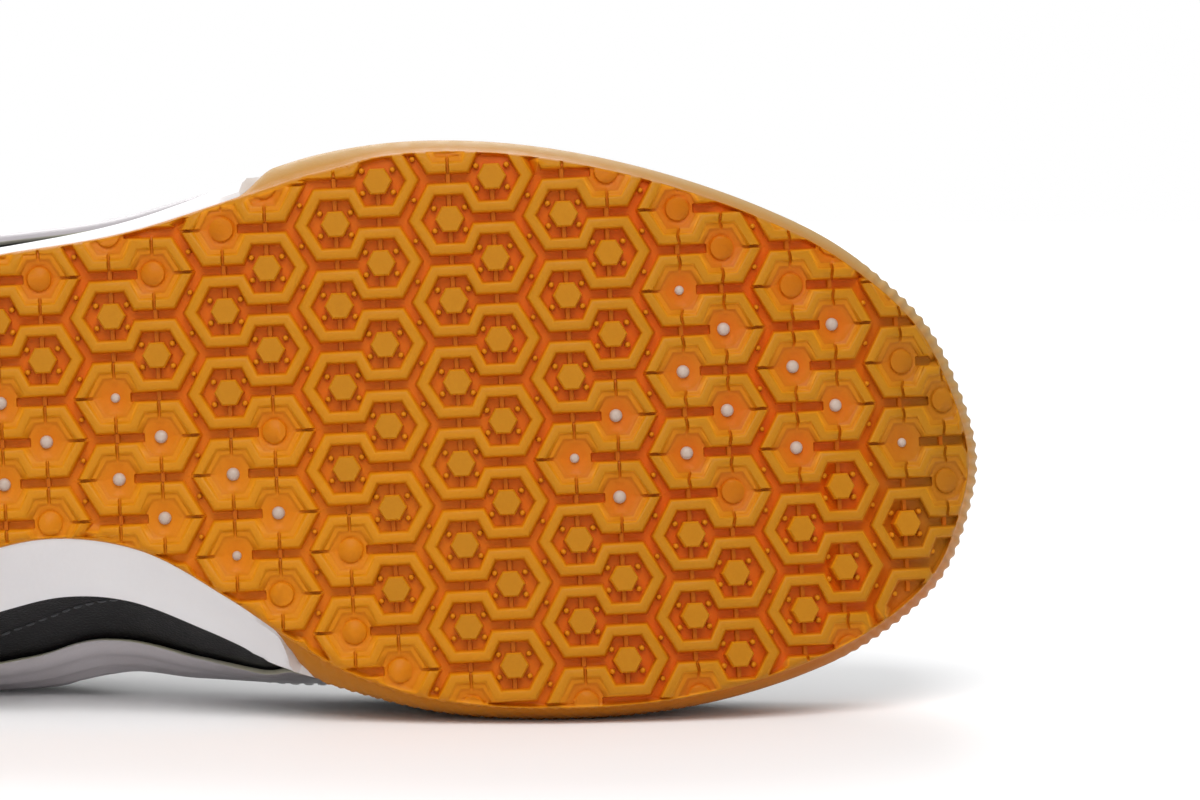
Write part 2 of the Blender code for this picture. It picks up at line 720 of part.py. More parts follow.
def thickened(name, bm, material, thickness, inward):
    """An open sheet as a solid wall, grown inward or outward."""
    bmesh.ops.remove_doubles(bm, verts=bm.verts, dist=2e-5)
    mesh = bpy.data.meshes.new(name)
    bm.to_mesh(mesh)
    bm.free()
    mesh.materials.append(material)
    obj = bpy.data.objects.new(name, mesh)
    bpy.data.collections[COLLECTION].objects.link(obj)
    solidify = obj.modifiers.new("wall", "SOLIDIFY")
    solidify.thickness = thickness * MM
    solidify.offset = -1.0 if inward else 1.0
    solidify.use_even_offset = True
    solidify.use_quality_normals = True
    return obj


def build_upper(surface, material):
    """Vamp and quarters: one wall, open at the collar, the throat and underneath."""
    bm = bmesh.new()
    for side in (-1, 1):
        add_sheet(bm, surface.grids[side], flip=side > 0)
    return thickened("upper", bm, material, UPPER_WALL, inward=True)


def build_overlay(name, surface, material, sides, span, columns):
    """A raised piece over part of the upper, a small gap above it."""
    rows = [i for i, x in enumerate(surface.stations) if span[0] - 1e-6 <= x / LENGTH <= span[1] + 1e-6]
    bm = bmesh.new()
    for side in sides:
        add_sheet(bm, surface.block(side, rows, columns, GAP), flip=side > 0)
    return thickened(name, bm, material, OVERLAY, inward=False)


def across_curve(x, margin):
    """Across the throat from one eyestay to the other, on the upper's outer surface closed over the gap."""
    halves = {}
    for side in (-1, 1):
        line = upper_curve(rims([x], side)[0])
        length = arc_lengths(line)[-1]
        halves[side] = along(line, np.linspace(length - margin, length, 6))
    medial, lateral = halves[1], halves[-1][::-1]
    gap = np.linalg.norm(lateral[0] - medial[-1])
    if gap < 0.5:
        bridge = np.vstack([medial, lateral[1:]])
    else:
        lead = (medial[-1] - medial[-2]) / np.linalg.norm(medial[-1] - medial[-2])
        trail = (lateral[1] - lateral[0]) / np.linalg.norm(lateral[1] - lateral[0])
        middle = bezier(medial[-1], medial[-1] + lead * gap * 0.36, lateral[0] - trail * gap * 0.36, lateral[0], 12)
        bridge = np.vstack([medial, middle[1:-1], lateral])
    return bridge


def across_points(x, margin, count):
    line = across_curve(x, margin)
    return along(line, np.linspace(0, arc_lengths(line)[-1], count))


def across_surface(x, margin, count):
    """Even points across the throat, and the outward normals of the closed surface there."""
    points = across_points(x, margin, count)
    forward = across_points(x + 1.5, margin, count) - across_points(x - 1.5, margin, count)
    normals = np.cross(np.gradient(points, axis=0), forward)
    normals /= np.linalg.norm(normals, axis=1, keepdims=True)
    return points, normals * np.sign(normals[:, 2].sum())


def build_tongue(material):
    """Padded tongue under the throat, rising above the collar."""
    depth = UPPER_WALL + GAP + 2 * FACET_ROOM
    columns = 9
    rows = []
    for share in np.linspace(EYESTAY_FRONT + 0.005, THROAT_BACK, 12):
        tuck = 0.2 + 0.95 * ease(share, THROAT_BACK, THROAT_BACK + 0.5 * (THROAT_FRONT - THROAT_BACK))
        points, normals = across_surface(share * LENGTH, EYESTAY_WIDTH * tuck, columns)
        rows.append(points - normals * depth)
    last = rows[-1]
    middle = last.mean(axis=0)
    for step in (0.35, 0.7, 1.0):
        narrow = 1 - 0.30 * math.sin(math.pi * step)
        row = last.copy()
        row[:, 1] = middle[1] + (last[:, 1] - middle[1]) * narrow
        row[:, 2] = last[:, 2].max() - (last[:, 2].max() - last[:, 2]) * (1 - 0.25 * step) + TONGUE_RISE * step
        row[:, 0] -= TONGUE_RISE * TONGUE_LEAN * step
        rows.append(row)
    bm = bmesh.new()
    add_sheet(bm, np.array(rows), flip=False)
    return thickened("tongue", bm, material, TONGUE, inward=True)


def build_insole(material):
    """Removable insole on the midsole, inside the upper."""
    loop = loop_of(upper_stations())

    def inset(rim):
        return feather_inset(rim) + UPPER_WALL + GAP + FACET_ROOM

    bm = bmesh.new()
    rings = add_rings(
        bm,
        [
            ring_points(loop, inset, lambda rim: midsole_top(rim.x) + GAP),
            ring_points(loop, inset, lambda rim: midsole_top(rim.x) + GAP + INSOLE),
        ],
    )
    add_ladder(bm, rings[0], upward=False)
    add_ladder(bm, rings[-1], upward=True)
    return finished("insole", bm, material)


def lace_height():
    return GAP + OVERLAY + GAP + FACET_ROOM


def eyelet_stations():
    ends = (THROAT_FRONT - 0.012, THROAT_BACK + 0.02)
    return [x * LENGTH for x in np.linspace(*ends, EYELET_PAIRS)]


def lace_bar(name, start, end, mirrored, extra, collection, material):
    """One flat strand from an eyelet on one side to an eyelet on the other."""
    bm = bmesh.new()
    rings, centres = [], []
    steps = 6
    for k in range(steps + 1):
        share = k / steps
        points, normals = across_surface(start + (end - start) * share, EYESTAY_WIDTH * 0.5, 2 * steps + 1)
        spot = 2 * (steps - k if mirrored else k)
        centres.append((points[spot], normals[spot]))
    path = np.array([c[0] for c in centres])
    tangents = np.gradient(path, axis=0)
    tangents /= np.linalg.norm(tangents, axis=1, keepdims=True)
    path[0] -= tangents[0] * LACE_WIDTH * 0.5
    path[-1] += tangents[-1] * LACE_WIDTH * 0.5
    for point, (_, normal), tangent in zip(path, centres, tangents):
        across = np.cross(tangent, normal)
        across /= np.linalg.norm(across)
        base = point + normal * (lace_height() + extra)
        half = across * LACE_WIDTH / 2
        top = normal * LACE_THICK
        rings.append([base - half, base + half, base + half + top, base - half + top])
    made = [[bm.verts.new(p) for p in lifted(ring)] for ring in rings]
    for a, b in zip(made, made[1:]):
        for i in range(4):
            k = (i + 1) % 4
            bm.faces.new((a[i], a[k], b[k], b[i]))
    bm.faces.new(made[0][::-1])
    bm.faces.new(made[-1])
    bmesh.ops.recalc_face_normals(bm, faces=bm.faces)
    mesh = bpy.data.meshes.new(name)
    bm.to_mesh(mesh)
    bm.free()
    mesh.materials.append(material)
    obj = bpy.data.objects.new(name, mesh)
    collection.objects.link(obj)
    return obj


def build_laces(material):
    """Straight bar at the toe end, then crossings up to the top eyelets, joined into one solid."""
    cutters = bpy.data.collections.new("lace_strands")
    cutters.hide_render = True
    bpy.context.scene.collection.children.link(cutters)
    eyelets = eyelet_stations()
    first = lace_bar("laces", eyelets[0], eyelets[0], False, 0.0, bpy.data.collections[COLLECTION], material)
    for n, (near, far) in enumerate(zip(eyelets, eyelets[1:])):
        for mirrored in (False, True):
            name = f"strand_{n}_{'back' if mirrored else 'out'}"
            strand = lace_bar(name, near, far, mirrored, 0.2 if mirrored else 0.07, cutters, material)
            strand.display_type = "WIRE"
            strand.parent = first
    union = first.modifiers.new("strands", "BOOLEAN")
    union.operation = "UNION"
    union.operand_type = "COLLECTION"
    union.collection = cutters
    union.solver = "EXACT"
    return first


def principled(name, colour, roughness, coat=0.0):
    material = bpy.data.materials.new(name)
    material.use_nodes = True
    shader = material.node_tree.nodes["Principled BSDF"]
    shader.inputs["Base Color"].default_value = (*colour, 1.0)
    shader.inputs["Roughness"].default_value = roughness
    shader.inputs["Metallic"].default_value = 0.0
    shader.inputs["Coat Weight"].default_value = coat
    return material


def world_triangles(obj):
    """Vertices and triangles of an object as evaluated."""
    graph = bpy.context.evaluated_depsgraph_get()
    mesh = obj.evaluated_get(graph).to_mesh()
    mesh.calc_loop_triangles()
    points = np.array([v.co[:] for v in mesh.vertices])
    triangles = np.array([t.vertices[:] for t in mesh.loop_triangles])
    obj.evaluated_get(graph).to_mesh_clear()
    return points, triangles


def centre_of_mass(objects):
    """Mass centre of the solids, each at its own density."""
    total, moment = 0.0, np.zeros(3)
    for obj in objects:
        points, triangles = world_triangles(obj)
        a, b, c = (points[triangles[:, k]] for k in range(3))
        volumes = np.einsum("ij,ij->i", a, np.cross(b, c)) / 6
        mass = volumes.sum() * DENSITY.get(obj.name, LEATHER_DENSITY)
        total += mass
        moment += ((a + b + c) / 4 * volumes[:, None]).sum(axis=0) * DENSITY.get(obj.name, LEATHER_DENSITY)
    return moment / total


def resting_normal(objects):
    """Outward normal of the hull face on the medial side that the mass centre stands over."""
    centre = centre_of_mass(objects)
    hull = bmesh.new()
    for obj in objects:
        for point in world_triangles(obj)[0]:
            hull.verts.new(point)
    bmesh.ops.convex_hull(hull, input=hull.verts)
    best, best_room = None, -1e9
    for face in hull.faces:
        a, b, c = (np.array(v.co) for v in face.verts[:3])
        normal = np.cross(b - a, c - a)
        area = np.linalg.norm(normal)
        if area < 1e-9:
            continue
        normal /= area
        if np.dot(normal, a - centre) < 0:
            normal = -normal
        if normal[1] < 0.8:
            continue
        foot = centre + normal * np.dot(a - centre, normal)
        room = 1e9
        for p, q, r in ((a, b, c), (b, c, a), (c, a, b)):
            side = np.cross(normal, q - p)
            side /= np.linalg.norm(side)
            side *= np.sign(np.dot(r - p, side)) or 1.0
            room = min(room, float(np.dot(foot - p, side)))
        if room > best_room:
            best, best_room = normal, room
    hull.free()
    return Vector(best)


def lay_down(objects):
    """Turns the shoe onto its medial side, toe along +X, and sets it on the floor at the origin."""
    up = -resting_normal(objects)
    toe = Vector((1, 0, 0))
    toe = (toe - up * toe.dot(up)).normalized()
    away = up.cross(toe)
    turn = Matrix((toe, away, up)).to_4x4()
    corners = np.vstack([world_triangles(obj)[0] for obj in objects]) @ np.array(turn.to_3x3()).T
    low, high = corners.min(axis=0), corners.max(axis=0)
    middle = (low + high) / 2
    pose = bpy.data.objects.new("lying_on_its_side", None)
    bpy.context.scene.collection.objects.link(pose)
    pose.matrix_world = Matrix.Translation((-middle[0], -middle[1], -low[2])) @ turn
    for obj in objects:
        obj.parent = pose
    return pose


def build():
    for obj in list(bpy.data.objects):
        bpy.data.objects.remove(obj)
    parts = bpy.data.collections.new(COLLECTION)
    bpy.context.scene.collection.children.link(parts)
    gum = principled("gum_rubber", (0.53, 0.25, 0.03), 0.42)
    foam = principled("white_foam", (0.76, 0.74, 0.76), 0.55)
    leather = principled("black_leather", (0.012, 0.011, 0.013), 0.42, coat=0.15)
    trim = principled("white_synthetic", (0.62, 0.60, 0.62), 0.45)
    lining = principled("dark_textile", (0.02, 0.02, 0.022), 0.85)
    cord = principled("white_lace", (0.75, 0.74, 0.72), 0.8)
    surface = UpperSurface()
    last_column = len(surface.grids[1][0]) - 1
    eyestay_columns = list(range(last_column - 2, last_column + 1))
    objects = [
        build_outsole(gum),
        build_midsole(foam),
        build_upper(surface, leather),
        build_insole(lining),
        build_tongue(leather.copy()),
        build_overlay(
            "eyestay", surface, leather.copy(), (-1, 1), (THROAT_BACK, EYESTAY_FRONT), eyestay_columns
        ),
        build_overlay(
            "heel_counter", surface, leather.copy(), (-1, 1), (0.0, COUNTER_FRONT), list(range(COUNTER_COLUMNS + 1))
        ),
        build_overlay("side_band_medial", surface, trim, (1,), BAND_SPAN, [2, 3, 4]),
        build_overlay("side_band_lateral", surface, trim.copy(), (-1,), BAND_SPAN, [2, 3, 4]),
        build_laces(cord),
    ]
    bpy.context.view_layer.update()
    lay_down(objects)


build()
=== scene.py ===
"""Looks of the indoor football shoe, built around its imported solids.

The shoe is worked out upright in its own frame, in millimetres: X runs from the heel (0) to the toe,
Y is the medial side (+) or the lateral side (-), and Z rises from the ground line of the tread. The
same named sizes and tables as in the solids give every surface, and Pose sets it down on its side.
"""

import functools
import logging
import math
from collections.abc import Iterable, Sequence
from dataclasses import dataclass, field
from enum import Enum

import bmesh
import bpy
import numpy as np
from mathutils import Matrix, Vector
from mathutils.geometry import delaunay_2d_cdt

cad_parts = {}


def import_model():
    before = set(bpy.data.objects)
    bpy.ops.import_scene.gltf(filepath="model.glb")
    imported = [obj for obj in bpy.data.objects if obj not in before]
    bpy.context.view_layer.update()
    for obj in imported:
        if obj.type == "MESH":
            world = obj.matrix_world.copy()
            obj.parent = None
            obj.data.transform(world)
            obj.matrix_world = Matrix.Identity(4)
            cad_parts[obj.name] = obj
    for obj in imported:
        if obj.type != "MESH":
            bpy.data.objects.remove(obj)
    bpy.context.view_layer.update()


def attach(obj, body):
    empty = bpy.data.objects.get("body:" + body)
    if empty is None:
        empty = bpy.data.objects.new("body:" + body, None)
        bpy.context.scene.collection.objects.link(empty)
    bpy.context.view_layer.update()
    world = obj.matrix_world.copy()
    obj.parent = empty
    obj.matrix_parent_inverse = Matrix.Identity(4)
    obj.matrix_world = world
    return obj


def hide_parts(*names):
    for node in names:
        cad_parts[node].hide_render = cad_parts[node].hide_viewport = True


Array = np.ndarray
Colour = tuple[float, float, float]
Piece = bpy.types.Object
Material = bpy.types.Material
Socket = bpy.types.NodeSocket
LOG = logging.getLogger("indoor_soccer_shoe")
MM = 0.001  # metres in a millimetre
BODY = "root"


class Side(Enum):
    """The two sides of a right shoe, by the sign of Y."""

    LATERAL = -1
    MEDIAL = 1

    @property
    def word(self) -> str:
        """The side's name in the tables' columns."""
        return self.name.lower()


class Cell(Enum):
    """What stands in the middle of a tread cell, by its letter in the chart."""

    BUTTON = "o"
    PIN = "+"
    SMALL_PIN = "'"
    DISC = "."


@dataclass(frozen=True)
class ShoeSizes:
    """Driving sizes in millimetres, the same as in the solids."""

    length: float = 290.0
    ball_half: float = 52.5
    plate: float = 4.2
    tread_depth: float = 2.2
    stack_heel: float = 21.0
    wall_height: float = 17.5
    wall: float = 2.4
    wall_lean: float = 0.9
    widest: float = 0.35
    gap: float = 0.3
    floor_step: float = 0.6
    facet_room: float = 0.3
    upper_wall: float = 1.8
    instep_height: float = 84.0
    overlay: float = 1.1
    insole: float = 3.5
    tongue: float = 4.0
    tongue_rise: float = 20.0
    tongue_lean: float = 0.9
    lace_width: float = 6.0
    lace_thick: float = 1.3
    eyelet_pairs: int = 6
    band_foot: float = 13.0
    band_width: float = 13.0
    eyestay_width: float = 12.0
    spring_start: float = 0.683  # share of the length where the toe starts to rise
    spring_angle: float = math.radians(25.0)
    arch_rise: float = 2.0
    arch_span: tuple[float, float] = (0.28, 0.58)
    heel_rise: float = 1.5
    heel_span: float = 0.10
    throat_back: float = 0.386
    throat_front: float = 0.672
    band_span: tuple[float, float] = (0.27, 0.60)
    counter_front: float = 0.21
    eyestay_front: float = 0.715


SIZE = ShoeSizes()

# Where the thin plate steps up into the gum wall, shares of the length: start and end of the step
STEP = {Side.LATERAL: (0.543, 0.571), Side.MEDIAL: (0.546, 0.590)}

# The sole's widest line, heel tip to toe tip, as shares of the length and of half the ball width
EDGE = {
    Side.LATERAL: (
        (0.000, 0.095), (0.007, -0.140), (0.028, -0.345), (0.062, -0.490), (0.114, -0.578),
        (0.200, -0.612), (0.300, -0.655), (0.400, -0.714), (0.476, -0.779), (0.552, -0.901),
        (0.600, -0.971), (0.655, -1.000), (0.724, -0.971), (0.800, -0.872), (0.872, -0.720),
        (0.921, -0.568), (0.969, -0.320), (0.991, -0.067), (1.000, 0.162),
    ),
    Side.MEDIAL: (
        (0.000, 0.095), (0.007, 0.330), (0.028, 0.545), (0.062, 0.700), (0.110, 0.795),
        (0.155, 0.818), (0.205, 0.800), (0.300, 0.690), (0.390, 0.550), (0.428, 0.514),
        (0.466, 0.537), (0.514, 0.648), (0.562, 0.779), (0.610, 0.880), (0.662, 0.958),
        (0.734, 0.996), (0.810, 0.977), (0.883, 0.886), (0.934, 0.764), (0.974, 0.581),
        (0.994, 0.345), (1.000, 0.162),
    ),
}  # fmt: skip

# Insets from the widest line, shares of half the ball width, and the tops of midsole and gum wall,
# shares of the heel stack and of the wall height
SOLE_COLUMNS = (
    "at", "tread_lateral", "tread_medial", "plate_lateral", "plate_medial", "midsole_top", "wall_top"
)  # fmt: skip
SOLE_ROWS = (
    (0.00, 0.085, 0.085, 0.045, 0.045, 1.00, 1.00),
    (0.10, 0.080, 0.080, 0.042, 0.045, 1.00, 1.00),
    (0.20, 0.075, 0.095, 0.038, 0.060, 0.98, 1.00),
    (0.30, 0.070, 0.165, 0.036, 0.135, 0.91, 1.00),
    (0.40, 0.068, 0.250, 0.036, 0.222, 0.80, 1.00),
    (0.46, 0.072, 0.228, 0.045, 0.200, 0.73, 1.00),
    (0.52, 0.090, 0.178, 0.055, 0.148, 0.67, 1.00),
    (0.56, 0.118, 0.150, 0.060, 0.105, 0.64, 1.00),
    (0.60, 0.112, 0.105, 0.060, 0.060, 0.62, 1.00),
    (0.64, 0.072, 0.085, 0.042, 0.045, 0.62, 1.00),
    (0.72, 0.057, 0.072, 0.036, 0.040, 0.62, 1.00),
    (0.88, 0.057, 0.060, 0.036, 0.036, 0.62, 1.04),
    (1.00, 0.057, 0.057, 0.036, 0.036, 0.64, 1.14),
)

# Sections of the upper: bulge in shares of half the ball width, heights and ridge in shares of the
# instep height, edge_way from the bulge to the ridge, edge_tilt in degrees
UPPER_COLUMNS = (
    "at", "bulge_lateral", "bulge_medial", "bulge_height", "edge_way", "edge_height", "edge_tilt",
    "ridge_at", "ridge_side",
)  # fmt: skip
UPPER_ROWS = (
    (0.00, 0.028, 0.028, 0.52, 0.07, 0.820, 80, 0.145, 0.095),
    (0.04, 0.030, -0.010, 0.54, 0.08, 0.805, 79, 0.150, 0.095),
    (0.10, 0.034, -0.066, 0.56, 0.13, 0.750, 78, 0.165, 0.095),
    (0.20, 0.040, -0.072, 0.57, 0.25, 0.690, 72, 0.215, 0.085),
    (0.30, 0.034, 0.088, 0.56, 0.38, 0.780, 64, 0.302, 0.060),
    (0.386, 0.010, 0.242, 0.53, 0.56, 0.975, 50, 0.386, 0.040),
    (0.424, 0.000, 0.268, 0.51, 0.62, 0.935, 44, 0.424, 0.035),
    (0.50, -0.020, 0.164, 0.48, 0.71, 0.845, 34, 0.500, 0.015),
    (0.56, -0.042, 0.042, 0.45, 0.78, 0.775, 26, 0.560, 0.000),
    (0.61, -0.056, -0.034, 0.43, 0.85, 0.725, 18, 0.610, -0.010),
    (0.648, -0.058, -0.050, 0.41, 0.93, 0.690, 10, 0.648, -0.010),
    (0.672, -0.058, -0.055, 0.40, 1.00, 0.668, 0, 0.672, -0.010),
    (0.72, -0.060, -0.056, 0.38, 1.00, 0.620, 0, 0.718, -0.008),
    (0.80, -0.060, -0.058, 0.35, 1.00, 0.545, 2, 0.790, 0.005),
    (0.88, -0.060, -0.060, 0.33, 1.00, 0.480, 6, 0.848, 0.030),
    (0.94, -0.060, -0.060, 0.315, 1.00, 0.445, 12, 0.880, 0.060),
    (1.00, -0.060, -0.060, 0.31, 1.00, 0.430, 16, 0.893, 0.080),
)

# The tread's cells: for each column pair its left and its right column, rows -1 to 6 across the shoe,
# read off where the photo shows them (pairs -4 to 4) and guessed at the waist and heel
TREAD_CHART = {
    -10: (". . o o o o . .", ". . o o o o . ."),
    -9: (". . o o o o o .", ". . o o o o . ."),
    -8: (". . o o o o o .", ". . o o o o . ."),
    -7: (". . . o o . . .", ". . o + + . . ."),
    -6: (". . o + + . . .", ". . o + + . . ."),
    -5: (". . o + + . . .", ". . o + + . . ."),
    -4: (". . o + + . . .", ". . o + . . . ."),
    -3: (". . o ' + . . .", ". . o + + . . ."),
    -2: (". . o o + ' . .", ". o o . + . . ."),
    -1: (". o o o o . . .", "o o o o o o . ."),
    0: (". o o o o o o .", "o o o o o o o ."),
    1: (". o o o ' o o .", ". o o + + o o ."),
    2: (". . ' + + o o .", ". . + + . o o ."),
    3: (". . . + + o o .", ". . + + o o . ."),
    4: (". . . . ' o o .", ". . . . . o . ."),
}
CHART_FIRST_ROW = -1


class Table:
    """A short table of the shoe's sections, read with a monotone cubic so that no value swings past
    its neighbours."""

    def __init__(self, columns: Sequence[str], rows: Sequence[Sequence[float]]) -> None:
        """Splits the rows into named columns.

        Args:
            columns: names of the columns, the first one the place along the shoe
            rows: one row for each section
        """
        data = np.array(rows, float)
        self.at = data[:, 0]
        self.values = {name: data[:, k] for k, name in enumerate(columns)}

    @functools.cache
    def _tangents(self, name: str) -> Array:
        """Slopes of one column at its rows."""
        ys = self.values[name]
        slopes = np.diff(ys) / np.diff(self.at)
        before, after = slopes[:-1], slopes[1:]
        total = np.where(before + after == 0, 1.0, before + after)
        inner = np.where(before * after <= 0, 0.0, 2 * before * after / total)
        return np.concatenate([slopes[:1], inner, slopes[-1:]])

    def read(self, name: str, at: Array | float) -> Array:
        """The value of one column.

        Args:
            name: the column
            at: places along the shoe, as shares of its length

        Returns:
            The value at each place.
        """
        place = np.clip(np.asarray(at, float), self.at[0], self.at[-1])
        i = np.clip(np.searchsorted(self.at, place, side="right") - 1, 0, len(self.at) - 2)
        ys, tangents = self.values[name], self._tangents(name)
        span = self.at[i + 1] - self.at[i]
        s = (place - self.at[i]) / span
        return (
            (1 + 2 * s) * (1 - s) ** 2 * ys[i]
            + s * (1 - s) ** 2 * span * tangents[i]
            + s * s * (3 - 2 * s) * ys[i + 1]
            + s * s * (s - 1) * span * tangents[i + 1]
        )


SOLE = Table(SOLE_COLUMNS, SOLE_ROWS)
UPPER = Table(UPPER_COLUMNS, UPPER_ROWS)


def ease(value: Array | float, low: float, high: float) -> Array:
    """0 below low, 1 above high, and a smooth step between."""
    s = np.clip((np.asarray(value, float) - low) / (high - low), 0.0, 1.0)
    return s * s * (3 - 2 * s)


def unit(vectors: Array) -> Array:
    """The vectors at length one."""
    return vectors / np.maximum(np.linalg.norm(vectors, axis=-1, keepdims=True), 1e-12)


def ground(x: Array | float) -> Array:
    """Height of the ground line: toe spring, arch and the heel's slight rise."""
    x = np.asarray(x, float)
    share = x / SIZE.length
    bend = SIZE.spring_angle / (SIZE.length * (1 - SIZE.spring_start))
    turn = np.clip(bend * (x - SIZE.spring_start * SIZE.length), 0.0, 1.2)
    arch = np.clip((share - SIZE.arch_span[0]) / (SIZE.arch_span[1] - SIZE.arch_span[0]), 0, 1)
    heel = np.clip(1 - share / SIZE.heel_span, 0, None)
    return (
        -np.log(np.cos(turn)) / bend
        + SIZE.arch_rise * np.sin(math.pi * arch) ** 2
        + SIZE.heel_rise * heel**2
    )


def slope(x: Array | float) -> Array:
    """Steepness of the ground line, as an angle."""
    reach = 0.5
    return np.arctan((ground(np.asarray(x) + reach) - ground(np.asarray(x) - reach)) / (2 * reach))


def plan_x(along: Array | float) -> Array:
    """Plan position of a point that lies this far along the bent sole."""
    start = SIZE.spring_start * SIZE.length
    bend = SIZE.spring_angle / (SIZE.length - start)
    past = np.maximum(np.asarray(along, float) - start, 0.0)
    return np.minimum(along, start) + 2 * np.arctan(np.tanh(bend * past / 2)) / bend


def sole_along(x: Array | float) -> Array:
    """How far along the bent sole a plan position lies."""
    start = SIZE.spring_start * SIZE.length
    bend = SIZE.spring_angle / (SIZE.length - start)
    past = np.maximum(np.asarray(x, float) - start, 0.0)
    return np.minimum(x, start) + 2 * np.arctanh(np.tan(np.minimum(bend * past / 2, 0.7))) / bend


class Pose:
    """How the upright shoe lies on its medial side, the same as in the solids."""

    rows = np.array(
        (
            (0.99893, 0.046014, 0.004572, -143.911),
            (0.0, -0.098876, 0.9951, -50.712),
            (0.046241, -0.994035, -0.09877, 43.036),
        )
    )

    @classmethod
    def points(cls, points: Array, bent: bool = True) -> Array:
        """Shoe points in the frame's metres.

        Args:
            points: points in millimetres, heights above the ground line
            bent: whether the ground line's own height is still to be added

        Returns:
            The points in metres in the row frame.
        """
        points = np.array(points, float)
        if bent:
            points[..., 2] += ground(points[..., 0])
        return (points @ cls.rows[:, :3].T + cls.rows[:, 3]) * MM

    @classmethod
    def directions(cls, vectors: Array) -> Array:
        """Shoe directions in the row frame."""
        return np.asarray(vectors, float) @ cls.rows[:, :3].T


@dataclass
class Rims:
    """Places on the sole's widest line, with their outward normals."""

    points: Array
    outward: Array
    side: Array  # -1 lateral, 1 medial

    @property
    def share(self) -> Array:
        """Shares of the length."""
        return self.points[:, 0] / SIZE.length

    @property
    def arcs(self) -> Array:
        """Distance of each place along the line, from the first one."""
        return arc_lengths(self.points)

    def moved(self, inset: Array | float) -> Array:
        """Plan points this far inside the line."""
        inset = np.broadcast_to(np.asarray(inset, float), (len(self.points),))
        return self.points - self.outward * inset[:, None]

    def read(self, name: str) -> Array:
        """A column of the sole's table that has a lateral and a medial version."""
        lateral = SOLE.read(name + "_lateral", self.share)
        medial = SOLE.read(name + "_medial", self.share)
        return np.where(self.side < 0, lateral, medial)


@functools.cache
def widest_loop() -> tuple[Array, int]:
    """The widest line as a dense closed curve from the heel tip, and the number of its toe point."""
    near, far = ([(x * SIZE.length, y * SIZE.ball_half) for x, y in EDGE[side]] for side in Side)
    points = np.array(near + far[-2:0:-1])
    steps = 24
    p = [np.roll(points, shift, axis=0) for shift in (1, 0, -1, -2)]
    knots = [np.zeros(len(points))]
    for a, b in zip(p, p[1:]):
        knots.append(knots[-1] + np.sqrt(np.linalg.norm(b - a, axis=1)))
    curve = []
    for step in range(steps):
        at = knots[1] + (knots[2] - knots[1]) * step / steps
        level = list(p)
        for width in (1, 2):
            ends = [(knots[k], knots[k + width]) for k in range(4 - width)]
            level = [
                (level[k] * (high - at)[:, None] + level[k + 1] * (at - low)[:, None]) / (high - low)[:, None]
                for k, (low, high) in enumerate(ends)
            ]
        share = ((at - knots[1]) / (knots[2] - knots[1]))[:, None]
        curve.append(level[0] * (1 - share) + level[1] * share)
    loop = np.stack(curve, axis=1).reshape(-1, 2)
    return loop, int(np.argmax(loop[:, 0]))


def side_rims(stations: Array, side: Side) -> Rims:
    """The rim at each station along one side."""
    loop, toe = widest_loop()
    curve = loop[: toe + 1] if side is Side.LATERAL else np.vstack([loop[toe:], loop[:1]])[::-1]
    tangent = unit(np.gradient(curve, axis=0))
    normal = np.stack([-tangent[:, 1], tangent[:, 0]], axis=1) * side.value
    normal[0], normal[-1] = (-1.0, 0.0), (1.0, 0.0)
    x = curve[0, 0] + (curve[-1, 0] - curve[0, 0]) * stations / SIZE.length
    points = np.stack([x, np.interp(x, curve[:, 0], curve[:, 1])], axis=1)
    outward = np.stack([np.interp(x, curve[:, 0], normal[:, k]) for k in (0, 1)], axis=1)
    return Rims(points, unit(outward), np.full(len(x), side.value))


def even_rims(spacing: float) -> Rims:
    """Rims all the way round, evenly spaced: heel tip, lateral side, toe tip, medial side back."""
    loop, toe = widest_loop()
    closed = np.vstack([loop, loop[:1]])
    arcs = arc_lengths(closed)
    halves = []
    for low, high in ((0.0, arcs[toe]), (arcs[toe], arcs[-1])):
        count = max(4, round((high - low) / spacing))
        halves.append(np.linspace(low, high, count, endpoint=False))
    at = np.concatenate(halves)
    points = np.stack([np.interp(at, arcs, closed[:, k]) for k in (0, 1)], axis=1)
    tangent = unit(np.roll(points, -1, axis=0) - np.roll(points, 1, axis=0))
    outward = np.stack([tangent[:, 1], -tangent[:, 0]], axis=1)
    if np.sum(outward * (points - points.mean(axis=0))) < 0:
        outward = -outward
    side = np.where(np.arange(len(at)) < len(halves[0]), -1, 1)
    return Rims(points, outward, side)


